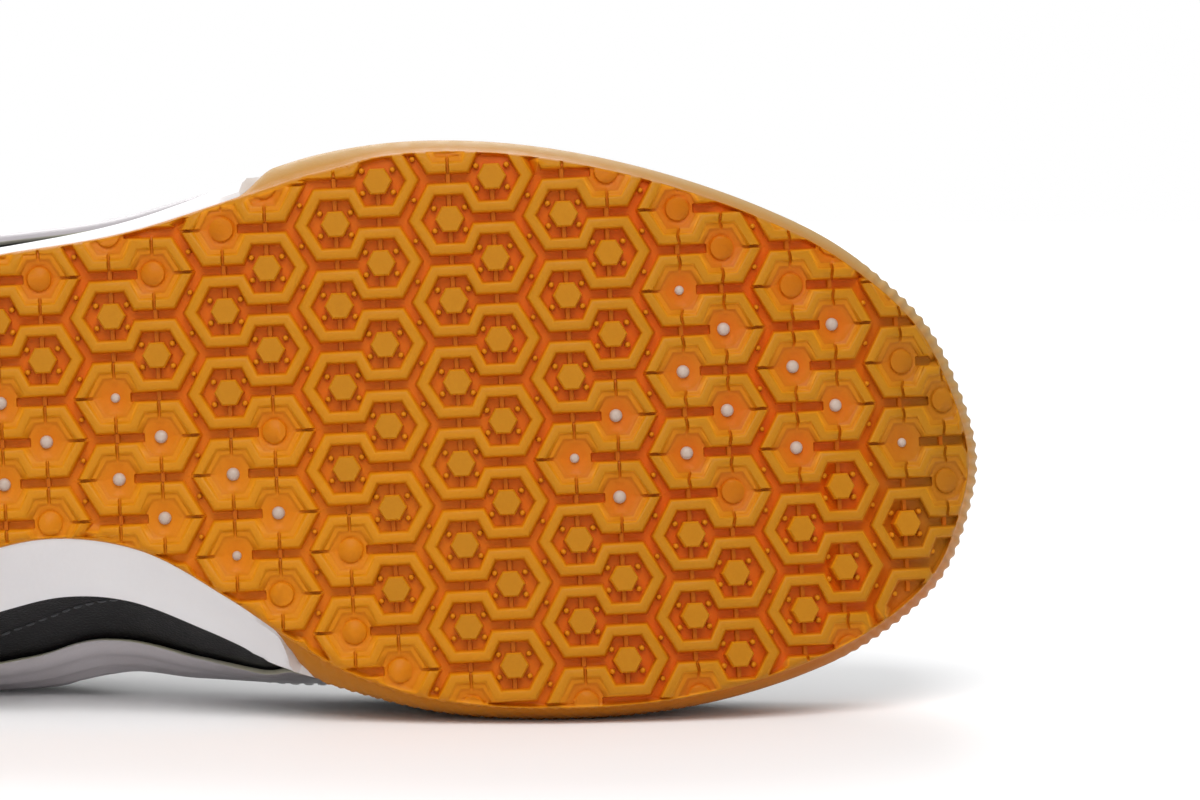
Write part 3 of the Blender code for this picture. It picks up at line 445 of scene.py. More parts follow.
class SoleForm:
    """The sole's profile over any rim, from the sole's table."""

    @staticmethod
    def tread_inset(rims: Rims) -> Array:
        """Edge of the flat tread."""
        return rims.read("tread") * SIZE.ball_half

    @staticmethod
    def plate_inset(rims: Rims) -> Array:
        """Edge of the thin plate."""
        return rims.read("plate") * SIZE.ball_half

    @staticmethod
    def midsole_top(rims: Rims) -> Array:
        """Top of the midsole."""
        return SOLE.read("midsole_top", rims.share) * SIZE.stack_heel

    @staticmethod
    def wall_rise(rims: Rims) -> Array:
        """How far the gum wall has risen: 0 in the thin plate, 1 where it is a full wall."""
        rise = {side: ease(rims.share, *STEP[side]) for side in Side}
        return np.where(rims.side < 0, rise[Side.LATERAL], rise[Side.MEDIAL])

    @staticmethod
    def full_wall(rims: Rims) -> Array:
        """Top of the gum wall where it is full."""
        return SOLE.read("wall_top", rims.share) * SIZE.wall_height

    @classmethod
    def wall_top(cls, rims: Rims) -> Array:
        """Top of the gum wall."""
        return SIZE.plate + cls.wall_rise(rims) * (cls.full_wall(rims) - SIZE.plate)

    @classmethod
    def wall_inset(cls, rims: Rims) -> Array:
        """Inset of the side at its widest."""
        return cls.plate_inset(rims) * (1 - cls.wall_rise(rims))

    @classmethod
    def cup_inset(cls, rims: Rims, height: Array) -> Array:
        """Inset of the gum wall's inner face at this height."""
        share = np.clip((height - SIZE.plate) / (cls.full_wall(rims) - SIZE.plate), 0.0, 1.0)
        floor = cls.plate_inset(rims) + SIZE.floor_step
        return SIZE.wall + share * SIZE.wall_lean + (1 - share) * floor

    @classmethod
    def feather_inset(cls, rims: Rims) -> Array:
        """Where the upper meets the midsole."""
        tucked = ease(cls.wall_rise(rims), 0.0, 0.35)
        inside = cls.cup_inset(rims, cls.midsole_top(rims)) + SIZE.gap + 1.5 * SIZE.facet_room
        return 1.3 * (1 - tucked) + inside * tucked


def grid_faces(rows: int, columns: int, flip: bool = False, wrap: bool = False) -> Array:
    """Quads between neighbouring points of a grid.

    Args:
        rows: number of rows
        columns: number of points in a row
        flip: whether the faces turn the other way
        wrap: whether each row closes on itself

    Returns:
        An array of four point numbers for each quad.
    """
    i, k = np.meshgrid(np.arange(rows - 1), np.arange(columns if wrap else columns - 1), indexing="ij")
    after = (k + 1) % columns
    quads = np.stack([i * columns + k, (i + 1) * columns + k, (i + 1) * columns + after, i * columns + after], -1)
    return quads.reshape(-1, 4)[:, :: -1 if flip else 1]


def lid_faces(rims: Rims) -> list[tuple[int, ...]]:
    """Faces that close a ring of rims, in strips from one side to the other."""
    count, toe = len(rims.points), int(np.argmax(rims.points[:, 0]))
    far = np.round(np.linspace(count, toe, toe + 1)).astype(int) % count
    strips = [tuple(dict.fromkeys((k, k + 1, int(far[k + 1]), int(far[k])))) for k in range(toe)]
    return [face for face in strips if len(face) > 2]


def placed(name: str, data: bpy.types.ID) -> Piece:
    """A new object with this data, linked to the scene."""
    made = bpy.data.objects.new(name, data)
    bpy.context.scene.collection.objects.link(made)
    return made


class MeshDraft:
    """Points and faces gathered for one piece, in shoe millimetres."""

    def __init__(self) -> None:
        """Starts empty."""
        self.points: list[Array] = []
        self.faces: list[tuple[int, ...]] = []
        self.marks: dict[str, list[Array]] = {}
        self.count = 0

    def add(self, points: Array, faces: Iterable[Sequence[int]], bent: bool = True, **marks: Array | float) -> None:
        """Adds a patch.

        Args:
            points: its points in shoe millimetres
            faces: its faces, numbered within the patch
            bent: whether the ground line's height is still to be added
            marks: values at the points, kept as attributes
        """
        points = np.asarray(points, float).reshape(-1, 3)
        self.points.append(Pose.points(points, bent))
        self.faces += [tuple(int(v) + self.count for v in face) for face in faces]
        for name in set(self.marks) | set(marks):
            value = np.broadcast_to(np.asarray(marks.get(name, 0.0), float).ravel(), (len(points),))
            self.marks.setdefault(name, [np.zeros(self.count)] if self.count else []).append(value)
        self.count += len(points)

    def tower(self, rings: Sequence[Array], rims: Rims) -> None:
        """Adds closed rings one above the other, with a lid at each end."""
        self.add(np.array(rings), grid_faces(len(rings), len(rims.points), wrap=True))
        for ring in (rings[0], rings[-1]):
            self.add(ring, lid_faces(rims))

    def build(self, name: str, weld: float = 0.0) -> Piece:
        """The gathered patches as one object.

        Args:
            name: the piece's name
            weld: distance within which points are joined, in millimetres

        Returns:
            The new object, linked to the scene.
        """
        mesh = bpy.data.meshes.new(name)
        mesh.from_pydata(np.vstack(self.points).tolist(), [], self.faces)
        for mark, values in self.marks.items():
            attribute = mesh.attributes.new(mark, "FLOAT", "POINT")
            attribute.data.foreach_set("value", np.concatenate(values).astype(np.float32))
        if weld:
            bm = bmesh.new()
            bm.from_mesh(mesh)
            bmesh.ops.remove_doubles(bm, verts=bm.verts, dist=weld * MM)
            bm.to_mesh(mesh)
            bm.free()
        mesh.update()
        return placed(name, mesh)


def shade(piece: Piece, sharp_above: float) -> None:
    """Smooth shading that keeps edges sharper than this angle, in degrees."""
    piece.data.shade_smooth()
    piece.data.set_sharp_from_angle(angle=math.radians(sharp_above))


def turned_outward(piece: Piece) -> Piece:
    """Turns a closed shell's faces outward."""
    bm = bmesh.new()
    bm.from_mesh(piece.data)
    bmesh.ops.recalc_face_normals(bm, faces=bm.faces)
    bm.to_mesh(piece.data)
    bm.free()
    return piece


def plain_mesh(piece: Piece) -> Piece:
    """Bakes a piece's modifiers into its mesh."""
    graph = bpy.context.evaluated_depsgraph_get()
    mesh = bpy.data.meshes.new_from_object(piece.evaluated_get(graph), depsgraph=graph)
    piece.modifiers.clear()
    old = piece.data
    piece.data = mesh
    mesh.name = piece.name
    bpy.data.meshes.remove(old)
    return piece


def finish_piece(
    piece: Piece, slot: str, *nodes: str, finish: Material | None = None, sharp: float = 0.0
) -> Piece:
    """Dresses a piece, rides it on the shoe's one body and hides the solids it stands for.

    Args:
        piece: the piece
        slot: the record's material slot that its finish comes from; it is not used
        nodes: the solids it stands for
        finish: its material, where it has none yet
        sharp: angle in degrees above which its edges stay sharp, where it isn't shaded yet

    Returns:
        The same piece.
    """
    if finish:
        piece.data.materials.append(finish)
    if sharp:
        shade(piece, sharp)
    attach(piece, BODY)
    if nodes:
        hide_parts(*nodes)
    piece.data.calc_loop_triangles()
    LOG.info("%s: %d triangles", piece.name, len(piece.data.loop_triangles))
    return piece


class ShaderDraft:
    """Builds the nodes of one material around its Principled shader."""

    def __init__(self, name: str) -> None:
        """Starts a material with a plain Principled shader."""
        self.material = bpy.data.materials.new(name)
        self.material.use_nodes = True
        self.tree = self.material.node_tree
        self.surface = self.tree.nodes["Principled BSDF"]
        self.place = self.node("ShaderNodeTexCoord").outputs["Object"]

    def node(self, kind: str, **settings: object) -> bpy.types.Node:
        """Adds a node and sets its properties."""
        made = self.tree.nodes.new(kind)
        for name, value in settings.items():
            setattr(made, name, value)
        return made

    def feed(self, socket: Socket, value: object) -> None:
        """Links a socket, or sets it to a constant."""
        if isinstance(value, Socket):
            self.tree.links.new(value, socket)
        elif isinstance(value, tuple) and socket.type == "RGBA":
            socket.default_value = (*value[:3], 1.0)
        else:
            socket.default_value = value

    def attribute(self, name: str) -> Socket:
        """A value kept on the mesh."""
        return self.node("ShaderNodeAttribute", attribute_name=name).outputs["Fac"]

    def uv(self) -> Socket:
        """The piece's own UV map."""
        return self.node("ShaderNodeUVMap", uv_map="UVMap").outputs["UV"]

    def noise(self, size_mm: float, detail: float = 3.0) -> Socket:
        """Soft noise with features of about this size."""
        made = self.node("ShaderNodeTexNoise")
        self.feed(made.inputs["Vector"], self.place)
        made.inputs["Scale"].default_value = 1.0 / (size_mm * MM)
        made.inputs["Detail"].default_value = detail
        return made.outputs["Fac"]

    def cells(self, size_mm: float, feature: str = "F1", place: Socket | None = None) -> Socket:
        """Distance to the middle, or to the edge, of cells of about this size."""
        made = self.node("ShaderNodeTexVoronoi", feature=feature)
        self.feed(made.inputs["Vector"], place or self.place)
        made.inputs["Scale"].default_value = 1.0 / (size_mm * MM)
        return made.outputs["Distance"]

    def wave(self, vector: Socket, scale: float) -> Socket:
        """Even sine bands."""
        made = self.node("ShaderNodeTexWave")
        self.feed(made.inputs["Vector"], vector)
        made.inputs["Scale"].default_value = scale
        return made.outputs["Fac"]

    def times(self, a: Socket, b: object) -> Socket:
        """The product of two values."""
        made = self.node("ShaderNodeMath", operation="MULTIPLY")
        self.feed(made.inputs[0], a)
        self.feed(made.inputs[1], b)
        return made.outputs["Value"]

    def spread(self, value: Socket, low: float, high: float, start: float = 0.0, end: float = 1.0) -> Socket:
        """A value from start to end, spread over low to high."""
        made = self.node("ShaderNodeMapRange")
        self.feed(made.inputs["Value"], value)
        for name, limit in (("From Min", start), ("From Max", end), ("To Min", low), ("To Max", high)):
            made.inputs[name].default_value = limit
        return made.outputs["Result"]

    def ramp(self, value: Socket, stops: Sequence[tuple[float, Colour]]) -> Socket:
        """Colours along a value."""
        made = self.node("ShaderNodeValToRGB")
        self.feed(made.inputs["Fac"], value)
        elements = made.color_ramp.elements
        while len(elements) < len(stops):
            elements.new(0.5)
        for element, (at, colour) in zip(elements, stops):
            element.position = at
            element.color = (*colour, 1.0)
        return made.outputs["Color"]

    def blend(self, share: Socket, a: object, b: object) -> Socket:
        """A mix of two colours."""
        made = self.node("ShaderNodeMix", data_type="RGBA")
        self.feed(made.inputs[0], share)
        self.feed(made.inputs[6], a)
        self.feed(made.inputs[7], b)
        return made.outputs[2]

    def bump(self, height: Socket, depth_mm: float, strength: float, under: Socket | None = None) -> Socket:
        """Relief of this depth over an optional lower relief."""
        made = self.node("ShaderNodeBump")
        self.feed(made.inputs["Height"], height)
        made.inputs["Distance"].default_value = depth_mm * MM
        made.inputs["Strength"].default_value = strength
        if under is not None:
            self.feed(made.inputs["Normal"], under)
        return made.outputs["Normal"]

    def dress(self, **inputs: object) -> Material:
        """Feeds the shader's inputs, their names with underscores for spaces, and gives the material."""
        for name, value in inputs.items():
            self.feed(self.surface.inputs[name.replace("_", " ")], value)
        return self.material


class Finish:
    """A finish of the shoe, which says what feeds the Principled shader's inputs."""

    def inputs(self, draft: ShaderDraft) -> dict[str, object]:
        """The shader's inputs, built in the draft's nodes."""
        raise NotImplementedError

    def build(self, name: str) -> Material:
        """Makes the material of this name."""
        draft = ShaderDraft(name)
        return draft.dress(**self.inputs(draft))


@dataclass(frozen=True)
class GumRubber(Finish):
    """Translucent tan rubber: redder in its grooves (partly painted shade), paler up the side wall (partly painted
    light), with painted shade at the toe tip and on the medial wall.
    """

    # Tones by depth in the tread: partly the rubber's own look, partly painted shade in the grooves
    crest: Colour = (0.42, 0.160, 0.004)
    slope: Colour = (0.60, 0.212, 0.002)
    step: Colour = (0.45, 0.120, 0.001)
    floor: Colour = (0.58, 0.092, 0.0006)
    thin: Colour = (0.62, 0.212, 0.001)
    # tip: painted shade, darker towards the toe tip and on the medial wall that faces the floor
    tip: Colour = (0.25, 0.122, 0.006)
    # wall: pale tone up the side wall, partly the rubber's own and partly painted light; the upward-facing lateral wall
    # gets most of it
    wall: Colour = (0.43, 0.270, 0.100)
    roughness: float = 0.47
    glow: float = 0.12

    def inputs(self, draft: ShaderDraft) -> dict[str, object]:
        """The shader's inputs, built in the draft's nodes."""
        depth = draft.spread(draft.attribute("depth"), 0.0, 1.0, 0.0, SIZE.tread_depth)
        # Darker and redder with depth: partly the rubber's own tone, partly painted shade in the grooves
        tone = draft.ramp(depth, ((0.0, self.crest), (0.2, self.slope), (0.42, self.step), (1.0, self.floor)))
        tone = draft.blend(draft.times(draft.attribute("glow"), 0.5), tone, self.thin)
        deep = draft.spread(depth, 0.25, 0.75)
        # Painted shade in the deeper parts: towards the toe tip and on the medial wall, kept as the tip mark
        tone = draft.blend(draft.times(draft.attribute("tip"), deep), tone, self.tip)
        # Paler up the side wall: partly the rubber's own tone, partly painted light
        tone = draft.blend(draft.attribute("wall"), tone, self.wall)
        cloud = draft.noise(14.0, 4.0)
        tone = draft.blend(draft.spread(cloud, 0.0, 0.16, 0.35, 0.75), tone, (0.50, 0.22, 0.012))
        speck = draft.noise(0.5, 2.0)
        tone = draft.blend(draft.spread(speck, 0.0, 0.10, 0.4, 0.8), tone, (0.26, 0.08, 0.003))
        rough = draft.spread(draft.noise(3.0, 3.0), self.roughness - 0.05, self.roughness + 0.08, 0.3, 0.7)
        relief = draft.bump(draft.noise(0.35, 3.0), 0.03, 0.6)
        relief = draft.bump(draft.noise(5.0, 2.0), 0.12, 0.4, relief)
        return dict(
            Base_Color=tone, Roughness=rough, Normal=relief, Subsurface_Weight=self.glow,
            Subsurface_Radius=(1.0, 0.45, 0.12), Subsurface_Scale=0.0018, Specular_IOR_Level=0.14,
        )  # fmt: skip


@dataclass(frozen=True)
class Foam(Finish):
    """Moulded white foam with a fine pebbled skin."""

    colour: Colour = (0.80, 0.79, 0.80)
    shade: Colour = (0.72, 0.70, 0.72)
    roughness: float = 0.5

    def inputs(self, draft: ShaderDraft) -> dict[str, object]:
        """The shader's inputs, built in the draft's nodes."""
        tone = draft.blend(draft.spread(draft.noise(22.0, 3.0), 0.0, 0.35, 0.4, 0.7), self.colour, self.shade)
        pebbles = draft.bump(draft.cells(0.9), 0.05, 0.35)
        relief = draft.bump(draft.noise(7.0, 2.0), 0.15, 0.3, pebbles)
        rough = draft.spread(draft.noise(4.0, 2.0), self.roughness - 0.06, self.roughness + 0.06, 0.3, 0.7)
        return dict(
            Base_Color=tone, Roughness=rough, Normal=relief, Subsurface_Weight=0.05,
            Subsurface_Scale=0.002, Subsurface_Radius=(1.0, 0.9, 0.85),
        )  # fmt: skip


@dataclass(frozen=True)
class Leather(Finish):
    """Dyed leather with a pebbled grain, fine wrinkles and a thin finish."""

    colour: Colour = (0.0050, 0.0044, 0.0048)
    worn: Colour = (0.012, 0.011, 0.012)
    grain_mm: float = 0.85
    roughness: float = 0.40
    coat: float = 0.10

    def inputs(self, draft: ShaderDraft) -> dict[str, object]:
        """The shader's inputs, built in the draft's nodes."""
        moved = draft.node("ShaderNodeVectorMath", operation="MULTIPLY_ADD")
        draft.feed(moved.inputs[0], draft.noise(3.5, 2.0))
        moved.inputs[1].default_value = (0.0012, 0.0012, 0.0012)
        draft.feed(moved.inputs[2], draft.place)
        pebbles = draft.cells(self.grain_mm, "DISTANCE_TO_EDGE", moved.outputs[0])
        pebbles = draft.spread(pebbles, 0.0, 1.0, 0.0, 0.32)
        relief = draft.bump(pebbles, 0.09, 0.55)
        relief = draft.bump(draft.noise(0.22, 3.0), 0.03, 0.35, relief)
        relief = draft.bump(draft.noise(9.0, 3.0), 0.30, 0.35, relief)
        tone = draft.blend(draft.spread(draft.noise(16.0, 4.0), 0.0, 0.5, 0.45, 0.75), self.colour, self.worn)
        rough = draft.spread(draft.noise(6.0, 3.0), self.roughness - 0.06, self.roughness + 0.10, 0.3, 0.7)
        return dict(
            Base_Color=tone, Roughness=rough, Normal=relief, Coat_Weight=self.coat, Coat_Roughness=0.35,
            Specular_IOR_Level=0.24,
        )  # fmt: skip


@dataclass(frozen=True)
class Knit(Finish):
    """Knitted lining cloth: small loops in rows, matt and slightly fuzzy."""

    colour: Colour = (0.022, 0.022, 0.025)
    lit: Colour = (0.060, 0.060, 0.066)
    loop_mm: float = 0.9

    def inputs(self, draft: ShaderDraft) -> dict[str, object]:
        """The shader's inputs, built in the draft's nodes."""
        loops = draft.cells(self.loop_mm)
        fuzz = draft.noise(0.25, 3.0)
        relief = draft.bump(loops, 0.30, 0.6)
        relief = draft.bump(fuzz, 0.08, 0.5, relief)
        tone = draft.blend(draft.spread(loops, 0.0, 1.0, 0.1, 0.7), self.lit, self.colour)
        tone = draft.blend(draft.spread(draft.noise(12.0, 3.0), 0.0, 0.4, 0.4, 0.7), tone, self.lit)
        return dict(
            Base_Color=tone, Roughness=0.88, Normal=relief, Sheen_Weight=0.35, Sheen_Roughness=0.5
        )


@dataclass(frozen=True)
class CoatedFabric(Finish):
    """White coated synthetic with a satin face, its default colour darkened to grey as painted shade."""

    # Painted shade: the white's own tone darkened to this grey
    colour: Colour = (0.41, 0.375, 0.389)
    roughness: float = 0.36

    def inputs(self, draft: ShaderDraft) -> dict[str, object]:
        """The shader's inputs, built in the draft's nodes."""
        tone = draft.blend(draft.spread(draft.noise(15.0, 3.0), 0.0, 0.5, 0.4, 0.7), self.colour, (0.40, 0.37, 0.39))
        relief = draft.bump(draft.cells(0.45), 0.03, 0.4)
        relief = draft.bump(draft.noise(4.0, 3.0), 0.12, 0.35, relief)
        rough = draft.spread(draft.noise(5.0, 2.0), self.roughness - 0.05, self.roughness + 0.08, 0.3, 0.7)
        return dict(Base_Color=tone, Roughness=rough, Normal=relief, Coat_Weight=0.12, Coat_Roughness=0.3)


@dataclass(frozen=True)
class WovenLace(Finish):
    """Flat braided lace: two families of yarns crossing at a slant, charted on the piece's UV map."""

    colour: Colour = (0.74, 0.73, 0.71)
    # gap: painted shade where the yarns dip between each other
    gap: Colour = (0.42, 0.41, 0.40)
    yarns: float = 5.0

    def inputs(self, draft: ShaderDraft) -> dict[str, object]:
        """The shader's inputs, built in the draft's nodes."""
        bands = []
        for turn in (0.9, -0.9):
            mapping = draft.node("ShaderNodeMapping")
            draft.feed(mapping.inputs["Vector"], draft.uv())
            mapping.inputs["Rotation"].default_value = (0.0, 0.0, turn)
            bands.append(draft.wave(mapping.outputs["Vector"], self.yarns))
        weave = draft.times(*bands)
        relief = draft.bump(weave, 0.22, 0.8)
        relief = draft.bump(draft.noise(0.2, 3.0), 0.05, 0.4, relief)
        # Painted shade between the yarns
        tone = draft.blend(draft.spread(weave, 0.0, 1.0, 0.0, 0.5), self.gap, self.colour)
        return dict(Base_Color=tone, Roughness=0.82, Normal=relief, Sheen_Weight=0.25)


@dataclass(frozen=True)
class Thread(Finish):
    """Twisted sewing thread."""

    colour: Colour = (0.03, 0.03, 0.033)

    def inputs(self, draft: ShaderDraft) -> dict[str, object]:
        """The shader's inputs, built in the draft's nodes."""
        relief = draft.bump(draft.noise(0.15, 2.0), 0.04, 0.6)
        tone = draft.blend(draft.noise(1.2, 2.0), self.colour, tuple(min(1.0, c * 1.7) for c in self.colour))
        return dict(Base_Color=tone, Roughness=0.6, Normal=relief, Sheen_Weight=0.2)


@dataclass(frozen=True)
class PlainPaper(Finish):
    """Pale studio floor."""

    colour: Colour = (0.93, 0.93, 0.935)

    def inputs(self, draft: ShaderDraft) -> dict[str, object]:
        """The shader's inputs, built in the draft's nodes."""
        tone = draft.blend(draft.spread(draft.noise(60.0, 2.0), 0.0, 0.03), self.colour, (0.85, 0.85, 0.86))
        return dict(Base_Color=tone, Roughness=0.6, Specular_IOR_Level=0.3)


class GeometryTree:
    """A Geometry Nodes tree built in the script, with named inputs."""

    def __init__(self, name: str, inputs: Sequence[tuple[str, str]]) -> None:
        """Makes the group and its inputs.

        Args:
            name: the tree's name
            inputs: the name and the socket type of each input after the geometry
        """
        self.group = bpy.data.node_groups.new(name, "GeometryNodeTree")
        face = self.group.interface
        face.new_socket("Geometry", in_out="INPUT", socket_type="NodeSocketGeometry")
        for label, kind in inputs:
            face.new_socket(label, in_out="INPUT", socket_type=kind)
        face.new_socket("Geometry", in_out="OUTPUT", socket_type="NodeSocketGeometry")
        self.given = self.group.nodes.new("NodeGroupInput")
        self.result = self.group.nodes.new("NodeGroupOutput")

    def node(self, kind: str, **settings: object) -> bpy.types.Node:
        """Adds a node and sets its properties."""
        made = self.group.nodes.new(kind)
        for name, value in settings.items():
            setattr(made, name, value)
        return made

    def link(self, start: Socket, end: Socket) -> None:
        """Joins two sockets."""
        self.group.links.new(start, end)

    def named(self, name: str, kind: str) -> Socket:
        """A value kept on the points."""
        made = self.node("GeometryNodeInputNamedAttribute", data_type=kind)
        made.inputs["Name"].default_value = name
        return made.outputs["Attribute"]

    def close(self, geometry: Socket) -> None:
        """Realizes the instances and gives them their material."""
        real = self.node("GeometryNodeRealizeInstances")
        dressed = self.node("GeometryNodeSetMaterial")
        self.link(geometry, real.inputs["Geometry"])
        self.link(real.outputs["Geometry"], dressed.inputs["Geometry"])
        self.link(self.given.outputs["Material"], dressed.inputs["Material"])
        self.link(dressed.outputs["Geometry"], self.result.inputs["Geometry"])

    def run(self, piece: Piece, **values: object) -> Piece:
        """Puts the tree on a piece with these inputs and turns the result into a plain mesh."""
        modifier = piece.modifiers.new(self.group.name, "NODES")
        modifier.node_group = self.group
        for item in self.group.interface.items_tree:
            if item.item_type == "SOCKET" and item.in_out == "INPUT" and item.name in values:
                modifier[item.identifier] = values[item.name]
        return plain_mesh(piece)


@functools.cache
def repeat_tree() -> GeometryTree:
    """The tree that sets a copy of a template on every point, by the point's own turn and size."""
    tree = GeometryTree("repeat_on_points", [("Template", "NodeSocketObject"), ("Material", "NodeSocketMaterial")])
    template = tree.node("GeometryNodeObjectInfo", transform_space="ORIGINAL")
    tree.link(tree.given.outputs["Template"], template.inputs["Object"])
    repeat = tree.node("GeometryNodeInstanceOnPoints")
    tree.link(tree.given.outputs["Geometry"], repeat.inputs["Points"])
    tree.link(template.outputs["Geometry"], repeat.inputs["Instance"])
    tree.link(tree.named("turn", "FLOAT_VECTOR"), repeat.inputs["Rotation"])
    tree.link(tree.named("size", "FLOAT_VECTOR"), repeat.inputs["Scale"])
    tree.close(repeat.outputs["Instances"])
    return tree


@dataclass
class Spots:
    """Places where a small template is repeated, in shoe millimetres."""

    points: list[Array] = field(default_factory=list)
    turns: list[Array] = field(default_factory=list)  # columns: the template's own axes
    sizes: list[Sequence[float]] = field(default_factory=list)

    def add(self, point: Sequence[float], axes: Array, size: Sequence[float] = (1.0, 1.0, 1.0)) -> None:
        """Adds one place.

        Args:
            point: shoe millimetres, with the ground line's height in it
            axes: the template's X, Y and Z as columns, in shoe directions
            size: scale along each of the template's axes
        """
        self.points.append(np.asarray(point, float))
        self.turns.append(axes)
        self.sizes.append(size)

    def repeat(self, name: str, template: Piece, material: Material) -> Piece:
        """Sets the template on every place with Geometry Nodes.

        Args:
            name: the piece's name
            template: what is repeated, in metres round its own origin; it is removed afterwards
            material: the finish

        Returns:
            One plain mesh of all the copies.
        """
        mesh = bpy.data.meshes.new(name)
        mesh.from_pydata(Pose.points(np.array(self.points), bent=False).tolist(), [], [])
        angles = []
        for axes in self.turns:
            world = Pose.rows[:, :3] @ axes
            angles.append(Matrix(unit(world.T).T.tolist()).to_euler("XYZ")[:])
        for mark, values in (("turn", angles), ("size", self.sizes)):
            attribute = mesh.attributes.new(mark, "FLOAT_VECTOR", "POINT")
            attribute.data.foreach_set("vector", np.array(values, np.float32).ravel())
        piece = placed(name, mesh)
        repeat_tree().run(piece, Template=template, Material=material)
        bpy.data.objects.remove(template)
        return piece


def template_mesh(name: str, points: Array, faces: Sequence[Sequence[int]], depths: Sequence[float]) -> Piece:
    """A small mesh round its own origin.

    Args:
        name: its name
        points: its points in millimetres
        faces: its faces
        depths: how deep in the tread each point lies, kept as an attribute

    Returns:
        The template object.
    """
    mesh = bpy.data.meshes.new(name)
    mesh.from_pydata((np.array(points) * MM).tolist(), [], faces)
    mesh.attributes.new("depth", "FLOAT", "POINT").data.foreach_set("value", depths)
    return placed(name, mesh)


def template_piece(name: str, rings: Sequence[tuple[float, float]], sides: int, foot: float = 0.0) -> Piece:
    """A small turned or faceted solid, standing on its own origin along +Z.

    Args:
        name: the template's name
        rings: radius and height of each ring in millimetres, from the foot up
        sides: number of corners
        foot: depth of its foot in the tread, kept as an attribute

    Returns:
        The template object.
    """
    angles = 2 * math.pi * np.arange(sides) / sides
    points = [(radius * math.cos(a), radius * math.sin(a), height) for radius, height in rings for a in angles]
    faces = [tuple(int(v) for v in face) for face in grid_faces(len(rings), sides, flip=True, wrap=True)]
    top, last = len(points), len(points) - sides
    points.append((0.0, 0.0, rings[-1][1] + 0.02 * rings[-1][0]))
    faces += [(last + k, last + (k + 1) % sides, top) for k in range(sides)]
    return template_mesh(name, points, faces, [max(0.0, foot - point[2]) for point in points])


@dataclass
class Studio:
    """Camera at the photograph's angle to the sole, soft lights and a pale floor."""

    target: tuple[float, float, float] = (221.9, -4.6, 0.0)  # shoe point in the middle of the picture
    frame_width: float = 213.9  # millimetres of the sole across the picture
    distance: float = 1400.0
    sensor: float = 36.0
    floor: tuple[float, float, float] = (1.9, -2.4, 1.12)  # half width, near edge and far edge
    fill: float = 0.50  # strength of the white surroundings
    lit_point: tuple[float, float, float] = (0.03, 0.0, 0.05)  # where the lights point, in metres

    def camera(self) -> None:
        """Looks straight at the sole's tread, as the photograph does."""
        target = Vector(Pose.points(np.array([self.target]))[0])
        outward = Vector(Pose.directions((0.0, 0.0, -1.0)))
        data = bpy.data.cameras.new("camera")
        data.sensor_width = self.sensor
        data.lens = self.sensor * self.distance / self.frame_width
        camera = placed("camera", data)
        camera.location = target + outward * self.distance * MM
        camera.rotation_mode = "QUATERNION"
        camera.rotation_quaternion = (-outward).to_track_quat("-Z", "Y")
        bpy.context.scene.camera = camera

    def area(self, name: str, place: tuple[float, float, float], size: float, power: float) -> None:
        """One soft square light that points at the shoe.

        Args:
            name: the light's name
            place: its position in metres
            size: its side in metres
            power: its power in watts
        """
        data = bpy.data.lights.new(name, "AREA")
        data.shape, data.size, data.energy = "SQUARE", size, power
        lamp = placed(name, data)
        lamp.location = place
        lamp.rotation_mode = "QUATERNION"
        lamp.rotation_quaternion = (Vector(self.lit_point) - Vector(place)).to_track_quat("-Z", "Y")

    def build(self) -> None:
        """Sets up the camera, the lights, the world and the floor."""
        self.camera()
        self.area("key_light", (0.05, -0.80, 1.10), 0.8, 12.5)
        self.area("front_light", (-0.3, -1.9, 0.9), 1.2, 4.0)
        self.area("back_light", (-0.2, 1.3, 1.0), 1.1, 15.0)
        world = bpy.data.worlds.new("studio")
        world.use_nodes = True
        nodes, links = world.node_tree.nodes, world.node_tree.links
        nodes["Background"].inputs["Color"].default_value = (1.0, 1.0, 1.0, 1.0)
        seen = nodes.new("ShaderNodeLightPath")
        strength = nodes.new("ShaderNodeMapRange")
        strength.inputs["To Min"].default_value, strength.inputs["To Max"].default_value = self.fill, 1.0
        links.new(seen.outputs["Is Camera Ray"], strength.inputs["Value"])
        links.new(strength.outputs["Result"], nodes["Background"].inputs["Strength"])
        bpy.context.scene.world = world
        bpy.context.scene.view_settings.view_transform = "Standard"
        half, near, far = self.floor
        mesh = bpy.data.meshes.new("floor")
        mesh.from_pydata([(-half, near, 0), (half, near, 0), (half, far, 0), (-half, far, 0)], [], [(0, 1, 2, 3)])
        floor = placed("floor", mesh)
        floor.data.materials.append(PlainPaper().build("pale_floor"))


